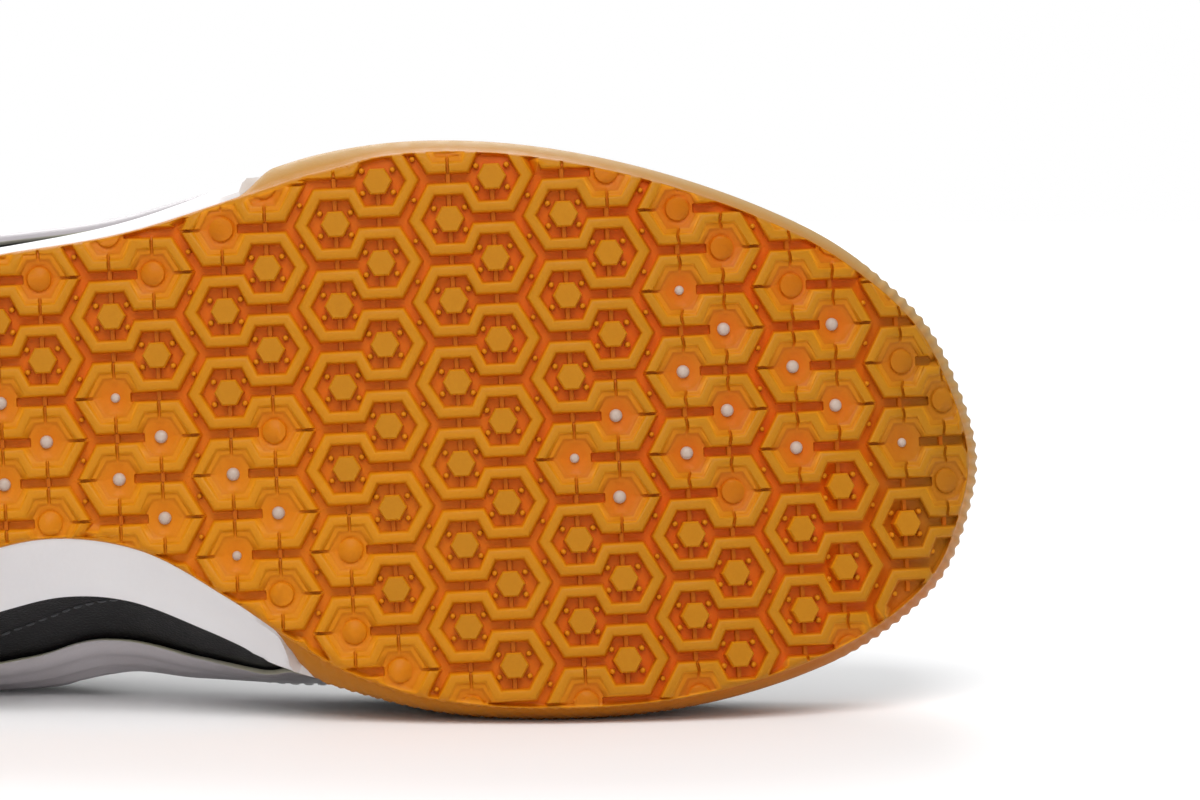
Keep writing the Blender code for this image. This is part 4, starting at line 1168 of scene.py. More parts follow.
@dataclass
class TreadPattern:
    """The moulded lattice: in each column pair one ridge winds round the cells, and each cell holds a
    button, a pin or a disc. Places are (along the bent sole, across the shoe)."""

    row_pitch: float = 14.55
    pair_pitch: float = 20.4
    step: float = 7.82  # from the left column of a pair to the right one
    anchor: tuple[float, float] = (196.65, -38.07)
    apothem: float = 5.35  # of the ridge's middle line round a cell
    crest: float = 0.50  # half widths of the ridge: its flat top, its rounded shoulder and its foot
    shoulder: float = 0.74
    foot: float = 1.28
    shoulder_drop: float = 0.16
    depth: float = SIZE.tread_depth
    fade: tuple[float, float] = (0.45, 0.86)  # share of the rounded edge over which the pattern runs out
    terraces: tuple[tuple[float, float], ...] = (
        (2.40, 1.50), (2.70, 1.22), (3.30, 1.16), (3.58, 0.74), (4.40, 0.66),
    )  # fmt: skip
    disc: tuple[float, float] = (2.0, 2.3)  # top and foot radius
    disc_top: float = 0.95
    pit: tuple[float, float] = (1.45, 1.8)
    pit_depth: float = 1.6
    slit: float = 0.36
    slit_depth: float = 1.25
    slit_inner: float = 2.5
    slit_wave: float = 0.12  # the toe's slits wander this much
    wavy_from: int = 2  # first column pair with wandering slits
    channel_half: float = 0.92
    channel_start: float = 2.75
    channel_slope: float = 0.22

    @property
    def half_side(self) -> float:
        """Half the length of a cell's side."""
        return self.apothem / math.sqrt(3)

    def centre(self, pair: int, row: int, right: bool) -> tuple[float, float]:
        """Middle of a cell."""
        along = self.anchor[0] + pair * self.pair_pitch + self.step * right
        return along, self.anchor[1] + (row + 0.5 * right) * self.row_pitch

    @staticmethod
    def kind(pair: int, row: int, right: bool) -> Cell:
        """What a cell holds, from the chart."""
        letters = TREAD_CHART.get(pair, (". . . . . . . .",) * 2)[int(right)].split()
        at = row - CHART_FIRST_ROW
        return Cell(letters[at]) if 0 <= at < len(letters) else Cell.DISC

    def pairs(self) -> range:
        """Numbers of the column pairs over the whole sole."""
        return range(min(TREAD_CHART), max(TREAD_CHART) + 1)

    def rows(self) -> range:
        """Numbers of the rows over the whole sole."""
        return range(-2, 8)

    def ridge_line(self, pair: int) -> Array:
        """Middle line of the ridge that winds up one column pair."""
        h, line = self.half_side, []
        for row in self.rows():
            x, y = self.centre(pair, row, False)
            inner, outer = x + self.step - h, x + self.step + h
            low, high = y + self.row_pitch / 2 - self.apothem, y + self.row_pitch / 2 + self.apothem
            line += [(x + h, y - self.apothem), (x - h, y - self.apothem), (x - 2 * h, y)]
            line += [(x - h, y + self.apothem), (x + h, y + self.apothem), (inner, low), (outer, low)]
            line += [(outer + h, (low + high) / 2), (outer, high), (inner, high)]
        return np.array(line)

    @staticmethod
    def offset_line(line: Array, offset: float) -> Array:
        """A mitred parallel of an open line."""
        direction = unit(np.diff(line, axis=0))
        before = np.vstack([direction[:1], direction])
        after = np.vstack([direction, direction[-1:]])
        normal = unit(np.stack([-(before + after)[:, 1], (before + after)[:, 0]], axis=1))
        reach = np.stack([-before[:, 1], before[:, 0]], axis=1)
        return line + normal * (offset / np.sum(normal * reach, axis=1))[:, None]

    def ridge_distance(self, along: Array, across: Array) -> Array:
        """Distance to the nearest ridge's middle line, measured square to its sides."""
        best = np.full(len(along), 99.0)
        for pair in self.pairs():
            line = self.ridge_line(pair)
            near = (along > line[:, 0].min() - 3) & (along < line[:, 0].max() + 3)
            if not near.any():
                continue
            spots = np.stack([along[near], across[near]], axis=1)
            direction = unit(np.diff(line, axis=0))
            length = np.linalg.norm(np.diff(line, axis=0), axis=1)
            bend = np.arccos(np.clip(np.sum(direction[1:] * direction[:-1], axis=1), -1, 1))
            start = np.tan(np.concatenate([[0.0], bend]) / 2)
            end = np.tan(np.concatenate([bend, [0.0]]) / 2)
            found = best[near]
            for k in range(len(direction)):
                gap = spots - line[k]
                run = gap @ direction[k]
                off = np.abs(gap[:, 0] * direction[k][1] - gap[:, 1] * direction[k][0])
                held = (run >= -off * start[k] - 1e-4) & (run <= length[k] + off * end[k] + 1e-4)
                found = np.where(held, np.minimum(found, off), found)
            best[near] = found
        return best

    def wander(self, pair: Array | int, run: Array | float) -> Array:
        """Sideways drift of a slit, which only the toe's slits have."""
        return np.where(np.asarray(pair) >= self.wavy_from, self.slit_wave, 0.0) * np.sin(np.asarray(run) * 2.3)

    def nearest_cell(self, along: Array, across: Array) -> tuple[Array, ...]:
        """The cell round each point, and the point's place in it.

        Args:
            along: places along the sole
            across: places across it

        Returns:
            Column pair, letter in the chart, local X towards the open corner, local Y, and the
            distance from the middle as an apothem.
        """
        home = np.round((along - self.anchor[0] - self.step / 2) / self.pair_pitch).astype(int)
        best = [np.zeros(len(along)) for _ in range(5)] + [np.full(len(along), 99.0)]
        for shift in (-1, 0, 1):
            for right in (0, 1):
                pair = home + shift
                x = along - (self.anchor[0] + pair * self.pair_pitch + self.step * right)
                rise = self.anchor[1] + 0.5 * right * self.row_pitch
                row = np.round((across - rise) / self.row_pitch)
                y = across - rise - row * self.row_pitch
                apothem = np.maximum(np.abs(y), 0.5 * math.sqrt(3) * np.abs(x) + 0.5 * np.abs(y))
                nearer = apothem < best[5]
                new = (pair, row, np.full(len(along), right), x * (1 - 2 * right), y, apothem)
                best = [np.where(nearer, b, a) for a, b in zip(best, new)]
        pair, row, right, x, y, apothem = best
        kinds = np.array([self.kind(int(p), int(r), bool(c)).value for p, r, c in zip(pair, row, right)])
        return pair, kinds, x, y, apothem

    def cell_depth(self, along: Array, across: Array) -> Array:
        """Depth of the cells' insides and of the grooves, without the ridges."""
        _, kinds, x, y, apothem = self.nearest_cell(along, across)
        inside = (kinds != Cell.BUTTON.value) & (apothem < self.apothem)
        at, drop = zip(*self.terraces)
        terrace = np.interp(apothem, at, drop)
        radius = np.hypot(x, y)
        disc = np.interp(radius, self.disc, (self.disc_top, self.terraces[0][1]))
        pit = np.interp(radius, self.pit, (self.pit_depth, self.terraces[0][1]))
        middle = np.where(kinds == Cell.DISC.value, disc, pit)
        terrace = np.where(radius < self.disc[1], middle, terrace)
        side = np.clip((self.channel_half - np.abs(y)) / self.channel_slope, 0, 1)
        run = np.clip((x - self.channel_start) / self.channel_slope, 0, 1)
        terrace = np.maximum(terrace, self.depth * side * run)
        return np.where(inside, terrace, self.depth)

    def slit_cut(self, along: Array, across: Array) -> Array:
        """Depth of the thin slits that cut through the ridges of pin and disc cells."""
        pair, kinds, x, y, _ = self.nearest_cell(along, across)
        upright = np.abs(x - self.wander(pair, y))
        level = np.where(x < -self.slit_inner, np.abs(y - 0.5 * self.wander(pair, x)), 9.0)
        upright = np.where(np.abs(y) > self.slit_inner, upright, 9.0)
        cut = self.slit_depth * np.clip(1.6 * (1 - np.minimum(upright, level) / self.slit), 0, 1)
        return np.where(kinds != Cell.BUTTON.value, cut, 0.0)

    def depth_at(self, along: Array, across: Array, turned: Array) -> Array:
        """Depth of the tread's surface above its lug faces.

        Args:
            along: places along the sole
            across: places across it
            turned: share of the rounded edge that lies inside each place

        Returns:
            The depths in millimetres.
        """
        distance = self.ridge_distance(along, across)
        ridge = np.interp(distance, (self.crest, self.shoulder, self.foot), (0.0, self.shoulder_drop, self.depth))
        pattern = np.minimum(ridge, self.cell_depth(along, across))
        pattern = np.maximum(pattern, self.slit_cut(along, across))
        return pattern * (1 - ease(turned, *self.fade))

    def breaklines(self) -> list[Array]:
        """Every line where the tread's surface changes its steepness."""
        lines = []
        for pair in self.pairs():
            middle = self.ridge_line(pair)
            for half in (self.crest, self.shoulder, self.foot):
                lines += [self.offset_line(middle, half), self.offset_line(middle, -half)]
            for row in self.rows():
                for right in (False, True):
                    if self.kind(pair, row, right) is not Cell.BUTTON:
                        lines += self.cell_lines(pair, row, right)
        return lines

    def cell_lines(self, pair: int, row: int, right: bool) -> list[Array]:
        """Breaklines inside a pin or disc cell."""
        lines = []
        angles = np.arange(7) * math.pi / 3
        for apothem, _ in self.terraces[1:]:
            radius = apothem * 2 / math.sqrt(3)
            lines.append(np.stack([radius * np.cos(angles), radius * np.sin(angles)], axis=1))
        circle = np.arange(15) * 2 * math.pi / 14
        for radius in self.disc if self.kind(pair, row, right) is Cell.DISC else self.pit:
            lines.append(np.stack([radius * np.cos(circle), radius * np.sin(circle)], axis=1))
        run = np.linspace(self.slit_inner, self.apothem + self.foot, 7)
        for shift in (-self.slit, -0.35 * self.slit, 0.35 * self.slit, self.slit):
            for end in (-1, 1):
                lines.append(np.stack([shift + self.wander(pair, run * end), run * end], axis=1))
            out = -np.linspace(self.slit_inner, (self.apothem + self.foot) * 2 / math.sqrt(3), 7)
            lines.append(np.stack([out, shift + 0.5 * self.wander(pair, out)], axis=1))
        for half in (self.channel_half, self.channel_half - self.channel_slope):
            for end in (-1, 1):
                lines.append(np.array([(self.channel_start, half * end), (self.apothem, half * end)]))
        for start in (self.channel_start, self.channel_start + self.channel_slope):
            lines.append(np.array([(start, -self.channel_half), (start, self.channel_half)]))
        centre = np.array(self.centre(pair, row, right))
        return [line * (-1 if right else 1, 1) + centre for line in lines]


def polygon_distance(points: Array, polygon: Array) -> Array:
    """Distance of plan points from a closed polygon's outline, positive inside it."""
    start, end = polygon, np.roll(polygon, -1, axis=0)
    best, odd = np.full(len(points), 1e9), np.zeros(len(points), bool)
    for a, b in zip(start, end):
        edge = b - a
        share = np.clip((points - a) @ edge / max(edge @ edge, 1e-9), 0, 1)
        best = np.minimum(best, np.linalg.norm(points - a - share[:, None] * edge, axis=1))
        crosses = (a[1] > points[:, 1]) != (b[1] > points[:, 1])
        with np.errstate(divide="ignore", invalid="ignore"):
            left = points[:, 0] < edge[0] * (points[:, 1] - a[1]) / edge[1] + a[0]
        odd ^= crosses & left
    return np.where(odd, best, -best)


@dataclass
class Outsole:
    """Gum cup: the moulded tread, its rounded edge, and the side wall with fine ribs at toe and ball."""

    pattern: TreadPattern = field(default_factory=TreadPattern)
    spacing: float = 0.36  # between rims
    turned_over: float = 0.88  # share of the rounded edge that the tread covers
    border_spacing: float = 1.8
    rib_pitch: float = 2.3
    rib_depth: float = 0.42
    button: tuple[tuple[float, float], ...] = ((2.72, -0.2), (2.62, 1.7), (2.52, 1.95), (2.30, 2.18))
    nub: tuple[tuple[float, float], ...] = ((0.60, -0.1), (0.55, 0.62), (0.36, 0.95))
    nub_depth: float = 1.5  # how deep in the tread its foot looks
    nub_place: tuple[float, float] = (2.75, 2.0)  # along and across from a button's middle
    pin: tuple[tuple[float, float], ...] = ((1.18, -0.1), (1.15, 0.25), (0.98, 0.62), (0.62, 0.88), (0.25, 0.98))
    web: tuple[float, float, float] = (0.50, 1.15, 0.62)  # half thickness, half length and height
    web_depth: float = 1.25
    knee_share: float = 0.62  # of the plate's height, where the rounded edge ends
    lip: float = 0.5  # height of the wall's rounded lip
    # Painted shade: the toe's surfaces turn away from the light, so the rubber is darkened towards the tip
    toe_tip: tuple[float, float] = (262.0, 284.0)  # where the rubber darkens towards the tip

    @property
    def knee(self) -> float:
        """Height at which the rounded edge turns into the wall."""
        return self.knee_share * SIZE.plate

    @staticmethod
    def turned_inset(rims: Rims, share: float) -> Array:
        """Inset of the line at this share of the rounded edge."""
        tread, plate = SoleForm.tread_inset(rims), SoleForm.plate_inset(rims)
        return plate + (tread - plate) * (1 - share)

    @staticmethod
    def glow(points: Array) -> Array:
        """How thin and bright the rubber looks: most under the arch."""
        return (1 - ease(points[:, 0], 172.0, 240.0)) * (0.35 + 0.65 * ease(points[:, 1], -22.0, 16.0))

    def edge_profile(self, rims: Rims) -> list[tuple[Array, Array]]:
        """Insets and heights of the rings from the tread's edge up the wall, over its lip and down inside."""
        form = SoleForm
        tread, plate, side = form.tread_inset(rims), form.plate_inset(rims), form.wall_inset(rims)
        top, rise = form.wall_top(rims), form.wall_rise(rims)
        knee = self.knee
        widest = 0.9 * SIZE.plate + SIZE.widest * (top - SIZE.plate)
        rings = []
        for turn in np.linspace(math.asin(self.turned_over), 0.5 * math.pi, 5):
            height = np.full(len(plate), knee * (1 - math.cos(turn)))
            rings.append((plate + (tread - plate) * (1 - math.sin(turn)), height))
        for share in np.linspace(0.2, 1.0, 5):
            bow = math.sin(0.5 * math.pi * share)
            rings.append((plate + (side - plate) * bow, knee + (widest - knee) * share))
        for share in np.linspace(0.2, 1.0, 6):
            height = widest + (top - self.lip * rise - widest) * share
            rings.append((side + SIZE.wall_lean * rise * share**1.5, height))
        lean = side + SIZE.wall_lean * rise
        rings.append((lean + 0.15 * SIZE.wall, top - 0.13 * self.lip * rise))
        rings.append((lean + 0.35 * SIZE.wall, top))
        rings.append((lean + SIZE.wall, top - 0.1 * rise))
        rings.append((plate + SIZE.wall + SIZE.floor_step, np.full(len(plate), SIZE.plate)))
        return rings

    def ribs(self, rims: Rims, height: Array) -> Array:
        """How deep the fine ribs cut into the side wall at this height."""
        arcs = rims.arcs - rims.arcs[int(np.argmax(rims.points[:, 0]))]
        top = SoleForm.wall_top(rims)
        band = ease(height, 1.2, 2.6) * (1 - ease(height, top - 2.2, top - 1.0))
        toe = ease(arcs, -46.0, -34.0) * (1 - ease(arcs, 38.0, 50.0))
        fan = (rims.side > 0) * ease(rims.points[:, 0], 158.0, 170.0) * (1 - ease(rims.points[:, 0], 228.0, 242.0))
        straight = 0.5 - 0.5 * np.cos(2 * math.pi * arcs / self.rib_pitch)
        slanted = 0.5 - 0.5 * np.cos(2 * math.pi * (arcs / self.rib_pitch + height * 0.30))
        return self.rib_depth * band * (toe * straight + 0.9 * fan * slanted)

    def tread_plan(self, rims: Rims) -> tuple[Array, Array, Array]:
        """The underside in plan.

        Args:
            rims: the rims whose tread edge bounds it

        Returns:
            Points, triangles and each point's depth in the pattern.
        """
        outline = rims.moved(self.turned_inset(rims, self.turned_over))
        coarse = even_rims(self.border_spacing)
        points, edges = [outline], []
        count = len(outline)
        for share in (0.0, 0.35, 0.6, 0.78):
            ring = coarse.moved(self.turned_inset(coarse, share))
            points.append(ring)
            edges += [(count + k, count + (k + 1) % len(ring)) for k in range(len(ring))]
            count += len(ring)
        for line in self.pattern.breaklines():
            plan = np.stack([plan_x(line[:, 0]), line[:, 1]], axis=1)
            held = polygon_distance(plan, outline[::12]) > -2.5
            points.append(plan)
            edges += [(count + k, count + k + 1) for k in range(len(plan) - 1) if held[k] and held[k + 1]]
            count += len(plan)
        used = {v for edge in edges for v in edge} | set(range(len(outline)))
        keep = sorted(used)
        number = {old: new for new, old in enumerate(keep)}
        flat = np.vstack(points)[keep]
        edges = [(number[a], number[b]) for a, b in edges]
        face = [number[k] for k in range(len(outline))]
        verts, _, faces, origin, *_ = delaunay_2d_cdt([Vector(p) for p in flat], edges, [face], 1, 1e-4)
        plan = np.array([v[:] for v in verts])
        parts = np.array_split(plan, 40)
        near = np.concatenate([np.linalg.norm(p[:, None] - coarse.points, axis=2).argmin(axis=1) for p in parts])
        tread, plate = SoleForm.tread_inset(coarse)[near], SoleForm.plate_inset(coarse)[near]
        inset = np.sum((coarse.points[near] - plan) * coarse.outward[near], axis=1)
        turned = np.clip((tread - inset) / (tread - plate), 0, 1)
        depth = self.pattern.depth_at(sole_along(plan[:, 0]), plan[:, 1], turned)
        lift = self.knee * (1 - np.sqrt(1 - turned**2))
        border = np.array([min(found, default=len(outline)) < len(outline) for found in origin])
        lift = np.where(border, self.knee * (1 - math.sqrt(1 - self.turned_over**2)), lift)
        depth = np.where(border, 0.0, depth)
        corners = np.array(faces)
        kept = corners[polygon_distance(plan[corners].mean(axis=1), outline) > 0]
        used, numbered = np.unique(kept, return_inverse=True)
        return np.column_stack([plan, lift + depth])[used], numbered.reshape(-1, 3), depth[used]

    def moulding(self) -> Piece:
        """The whole gum cup as one closed mesh."""
        rims = even_rims(self.spacing)
        draft = MeshDraft()
        tread, faces, depth = self.tread_plan(rims)
        # The tip mark here is painted shade towards the toe tip
        draft.add(tread, faces, depth=depth, wall=0.0, glow=self.glow(tread), tip=ease(tread[:, 0], *self.toe_tip))
        rings, wall, shaded = [], [], []
        # inner runs from 0 on the lateral side round the toe to 1 on the medial side, which faces the floor
        behind = rims.side * (rims.points[:, 0].max() - rims.points[:, 0])
        inner = ease(behind, -6.0, 14.0)
        for inset, height in self.edge_profile(rims):
            cut = inset + self.ribs(rims, height)
            rings.append(np.column_stack([rims.moved(cut), height]))
            # wall: pale tone up the wall, partly painted light, strong on the lateral side and weak on the floor-facing
            # medial side
            wall.append(0.9 * (1 - inner) * ease(height, 1.2, 6.0) + 0.14 * inner * ease(height, 3.0, 8.0))
            # shaded: painted shade up the medial wall, kept as the tip mark and as a made-up depth
            shaded.append(0.8 * inner * ease(height, 0.8, 3.5))
        # This depth mark is painted shade, not a depth: it pulls the medial wall towards the darker tones
        depths = SIZE.tread_depth * np.array(shaded)
        glow = self.glow(np.array(rings).reshape(-1, 3))
        faces = grid_faces(len(rings), len(rims.points), wrap=True)
        draft.add(np.array(rings), faces, wall=np.array(wall), tip=np.array(shaded), depth=depths, glow=glow)
        draft.add(rings[-1], lid_faces(rims), depth=0.0, wall=0.6)
        return turned_outward(draft.build("outsole_moulding", weld=0.004))

    def spots(self, kind: str) -> Spots:
        """Places of the small raised details of one kind, set square to the bent sole.

        Args:
            kind: button, pin, nub or web

        Returns:
            The places.
        """
        pattern, found = self.pattern, Spots()
        coarse = even_rims(self.border_spacing)
        border = coarse.moved(self.turned_inset(coarse, 0.6))
        groove = pattern.row_pitch / 2

        def add(along: float, across: float, drop: float, room: float, size: float = 1.0, long: float = 1.0) -> None:
            """Adds one place this deep in the tread, if it has this much room to the tread's edge."""
            plan = np.array([[float(plan_x(along)), across]])
            if polygon_distance(plan, border)[0] < room:
                return
            lean = float(slope(plan[0, 0]))
            down = np.array((math.sin(lean), 0.0, -math.cos(lean)))
            fore = np.array((math.cos(lean), 0.0, math.sin(lean)))
            axes = np.stack([fore, np.cross(down, fore), down], axis=1)
            point = np.array((plan[0, 0], across, float(ground(plan[0, 0])))) - down * drop
            found.add(point, axes, (size, size * long, size))

        for pair in pattern.pairs():
            for row in pattern.rows():
                for right in (False, True):
                    x, y = pattern.centre(pair, row, right)
                    cell = pattern.kind(pair, row, right)
                    if kind == "button" and cell is Cell.BUTTON:
                        add(x, y, pattern.depth, 1.1)
                    if kind == "pin" and cell in (Cell.PIN, Cell.SMALL_PIN):
                        add(x, y, pattern.pit_depth, 2.2, size=1.0 if cell is Cell.PIN else 0.72)
                    if kind == "nub" and cell is Cell.BUTTON:
                        for way in ((-1, -1), (-1, 1), (1, -1), (1, 1)):
                            add(x + self.nub_place[0] * way[0], y + self.nub_place[1] * way[1], pattern.depth, 0.4)
                    if kind == "nub" and right:
                        middle = x + pattern.pair_pitch / 2 - pattern.step / 2 + 0.05
                        for end in (-1, 1):
                            add(middle, y + end * groove / 2, pattern.depth, 0.4, size=0.9)
                    if kind == "web":
                        add(x, y + groove, pattern.depth, 1.4, long=0.72)
                        if cell is Cell.BUTTON:
                            for end in (-1, 1):
                                add(x, y + end * 3.3, pattern.depth, 1.4, long=0.85)
        return found

    def web_template(self) -> Piece:
        """A thin low wall across a groove."""
        half, run, height = self.web
        section = ((-half, -0.1), (-0.7 * half, height), (0.7 * half, height), (half, -0.1))
        points = [(x, y, z) for y in (-run, run) for x, z in section]
        faces = [(k, (k + 1) % 4, (k + 1) % 4 + 4, k + 4) for k in range(4)] + [(3, 2, 1, 0), (4, 5, 6, 7)]
        return turned_outward(template_mesh("web", points, [face[::-1] for face in faces], [self.web_depth] * 8))

    def build(self) -> None:
        """Builds the outsole's pieces and dresses them."""
        gum = GumRubber().build("gum_rubber")
        foam = Foam((0.44, 0.34, 0.28), (0.33, 0.25, 0.20)).build("pin_foam")
        finish_piece(self.moulding(), "gum_rubber", "outsole", finish=gum, sharp=62.0)
        for kind, template, finish, slot, sharp in (
            ("button", template_piece("button", self.button, 6, self.pattern.depth), gum, "gum_rubber", 30.0),
            ("nub", template_piece("nub", self.nub, 8, self.nub_depth), gum, "gum_rubber", 80.0),
            ("web", self.web_template(), gum, "gum_rubber", 0.0),
            ("pin", template_piece("pin", self.pin, 14), foam, "white_foam", 80.0),
        ):
            finish_piece(self.spots(kind).repeat(f"tread_{kind}s", template, finish), slot, sharp=sharp)


@dataclass
class Midsole:
    """White foam wedge: inside the gum cup in front, and free above the thin plate behind the step."""

    spacing: float = 1.0
    edge: float = 0.9  # radius of the rounded top edge
    bow: float = 0.5  # how hollow the free side is

    @staticmethod
    def line(rims: Rims, height: Array) -> Array:
        """Inset of the free side at this height."""
        plate, top = SoleForm.plate_inset(rims), SoleForm.midsole_top(rims)
        share = (height - SIZE.plate) / (top - SIZE.plate)
        wide = ease(plate, 3.0, 7.0)
        widest = SIZE.widest + (1 - SIZE.widest) * wide
        lean = SIZE.wall_lean * (1 - wide) * np.maximum(share - widest, 0.0)
        return plate * np.maximum(1 - share / widest, 0.0) ** 0.85 + lean

    def rings(self, rims: Rims) -> list[Array]:
        """The foam's rings from its floor to its top."""
        rise, top = SoleForm.wall_rise(rims), SoleForm.midsole_top(rims)
        start = np.where(rims.side < 0, STEP[Side.LATERAL][0], STEP[Side.MEDIAL][0])
        low_tuck = ease(rims.share - start, -0.014, -0.001)
        high_tuck = ease(rise, 0.92, 0.985)
        foot = np.full(len(top), SIZE.plate + SIZE.gap)
        step = np.minimum(np.maximum(SoleForm.wall_top(rims) + SIZE.gap, foot + 0.6), top - 1.4)
        rings = []

        def ring(height: Array, tuck: Array, extra: Array | float = 0.0) -> None:
            """Adds the ring at this height, tucked by this share into the cup."""
            free, cup = self.line(rims, height), SoleForm.cup_inset(rims, height) + SIZE.gap
            rings.append(np.column_stack([rims.moved(free * (1 - tuck) + cup * tuck + extra * (1 - tuck)), height]))

        for share in np.linspace(0.0, 1.0, 5):
            ring(foot + (step - foot) * share, low_tuck, 0.25 * (1 - share) ** 3)
        above = step + SIZE.gap
        for share in np.linspace(0.0, 1.0, 12):
            ring(above + (top - self.edge - above) * share, high_tuck, self.bow * np.sin(math.pi * share))
        ring(top - 0.25 * self.edge, high_tuck, 0.22 * self.edge)
        ring(top, high_tuck, 0.9 * self.edge)
        return rings

    def build(self) -> None:
        """Builds the midsole and dresses it."""
        rims = even_rims(self.spacing)
        draft = MeshDraft()
        draft.tower(self.rings(rims), rims)
        piece = turned_outward(draft.build("midsole_foam", weld=0.004))
        finish_piece(piece, "white_foam", "midsole", finish=Foam().build("white_foam"), sharp=40.0)


def upper_stations(spacing: float) -> Array:
    """Places along the shoe of the upper's rows: closer at both tips, and on every panel's edge.

    Args:
        spacing: usual distance between rows in millimetres

    Returns:
        Distances from the heel tip.
    """
    ends = 0.12 * SIZE.length * (1 - np.cos(np.linspace(0.0, 0.5 * math.pi, 24)))
    panels = (SIZE.counter_front, *SIZE.band_span, SIZE.throat_back, SIZE.throat_front, SIZE.eyestay_front)
    shares = (0.12, *panels, 0.88)
    lines = np.unique(shares) * SIZE.length
    middle = [np.linspace(a, b, max(2, round((b - a) / spacing) + 1)) for a, b in zip(lines, lines[1:])]
    return np.unique(np.round(np.concatenate([ends, *middle, SIZE.length - ends]), 6))


def bezier(a: Array, b: Array, c: Array, d: Array, count: int) -> Array:
    """Cubic curves through rows of control points: rows, then points along each."""
    share = np.linspace(0, 1, count)[:, None]
    a, b, c, d = (np.atleast_2d(p)[:, None] for p in (a, b, c, d))
    return (1 - share) ** 3 * a + 3 * share * (1 - share) ** 2 * b + 3 * share**2 * (1 - share) * c + share**3 * d


def arc_lengths(line: Array) -> Array:
    """Distance of each point along a polyline."""
    return np.concatenate([[0.0], np.cumsum(np.linalg.norm(np.diff(line, axis=0), axis=1))])


def resampled(line: Array, distances: Array, arcs: Array | None = None) -> Array:
    """Points at these distances along a polyline, or rows of values kept along other arc lengths."""
    arcs = arc_lengths(line) if arcs is None else arcs
    return np.stack([np.interp(distances, arcs, line[:, k]) for k in range(line.shape[1])], axis=1)


def upper_lines(rims: Rims) -> Array:
    """The upper's outer line over each rim: feather, bulge, then the throat's edge, the collar or the ridge."""
    read = functools.partial(UPPER.read, at=rims.share)
    up = np.array([0.0, 0.0, 1.0])
    feather = np.column_stack([rims.moved(SoleForm.feather_inset(rims)), SoleForm.midsole_top(rims) + SIZE.gap])
    bulge_out = np.where(rims.side < 0, read("bulge_lateral"), read("bulge_medial")) * SIZE.ball_half
    bulge = np.column_stack([rims.moved(-bulge_out), read("bulge_height") * SIZE.instep_height])
    ridge = np.column_stack([read("ridge_at") * SIZE.length, read("ridge_side") * SIZE.ball_half])
    way = read("edge_way")[:, None]
    edge = np.column_stack([bulge[:, :2] + (ridge - bulge[:, :2]) * way, read("edge_height") * SIZE.instep_height])
    inward = unit(np.column_stack([ridge - bulge[:, :2], np.zeros(len(way))]))
    tilt = np.radians(read("edge_tilt"))[:, None]
    end = inward * np.cos(tilt) + up * np.sin(tilt)
    low = np.linalg.norm(bulge - feather, axis=1)[:, None]
    start = unit(bulge - feather + up * 0.35 * low)
    rise = (edge - bulge)[:, 2:]
    across = np.linalg.norm((edge - bulge)[:, :2], axis=1)[:, None]
    lower = bezier(feather, feather + start * 0.36 * low, bulge - up * 0.36 * low, bulge, 30)
    reach = 0.55 * across * np.cos(tilt) + 0.42 * rise * np.sin(tilt)
    upper = bezier(bulge, bulge + up * 0.56 * rise, edge - end * reach, edge, 50)
    return np.concatenate([lower, upper[:, 1:]], axis=1)


def upper_columns(length: float) -> list[float]:
    """Distances up the upper of its nine levels: side band, quarter, then the eyestay."""
    foot, width = SIZE.band_foot, SIZE.band_width
    low = [
        min(foot * 0.5, 0.15 * length), min(foot, 0.30 * length),
        min(foot + width * 0.5, 0.44 * length), min(foot + width, 0.58 * length),
    ]  # fmt: skip
    eyestay = length - min(SIZE.eyestay_width, 0.2 * length)
    return [0.0, *low, low[-1] + (eyestay - low[-1]) * 0.5, eyestay, 0.5 * (eyestay + length), length]


@dataclass(frozen=True)
class Crease:
    """A flex crease across the vamp: a soft trough with a low ridge on each side of it."""

    share: float  # where it meets the ridge, as a share of the length
    lean: float  # millimetres further forward for each level down
    depth: float
    half: float
    lowest: float  # level at which it has faded out

    def relief(self, x: Array, level: Array) -> Array:
        """Height that it adds at these places."""
        off = (x - self.share * SIZE.length - self.lean * (8 - level)) / self.half
        form = -np.exp(-(off**2)) + 0.42 * np.exp(-((np.abs(off) - 2.1) ** 2))
        return self.depth * form * ease(level, self.lowest, self.lowest + 1.6)


CREASES = (
    Crease(0.745, 1.5, 0.50, 2.2, 3.8),
    Crease(0.769, 0.6, 0.75, 2.6, 3.0),
    Crease(0.795, -0.4, 0.60, 2.3, 3.6),
    Crease(0.822, -1.3, 0.35, 2.1, 4.8),
    Crease(0.240, -1.8, 0.45, 3.0, 2.4),
    Crease(0.300, 1.2, 0.40, 2.8, 3.0),
)
MEDIAL_SEAM = ((0.475, 0.16), (0.450, 0.62), (0.415, 1.25), (0.360, 1.80), (0.300, 2.15))  # share and level


def band_drop(share: Array) -> Array:
    """How many levels the side band moves up towards the heel, in one soft step."""
    return 0.36 * (1 - ease(share, 0.395, 0.450))


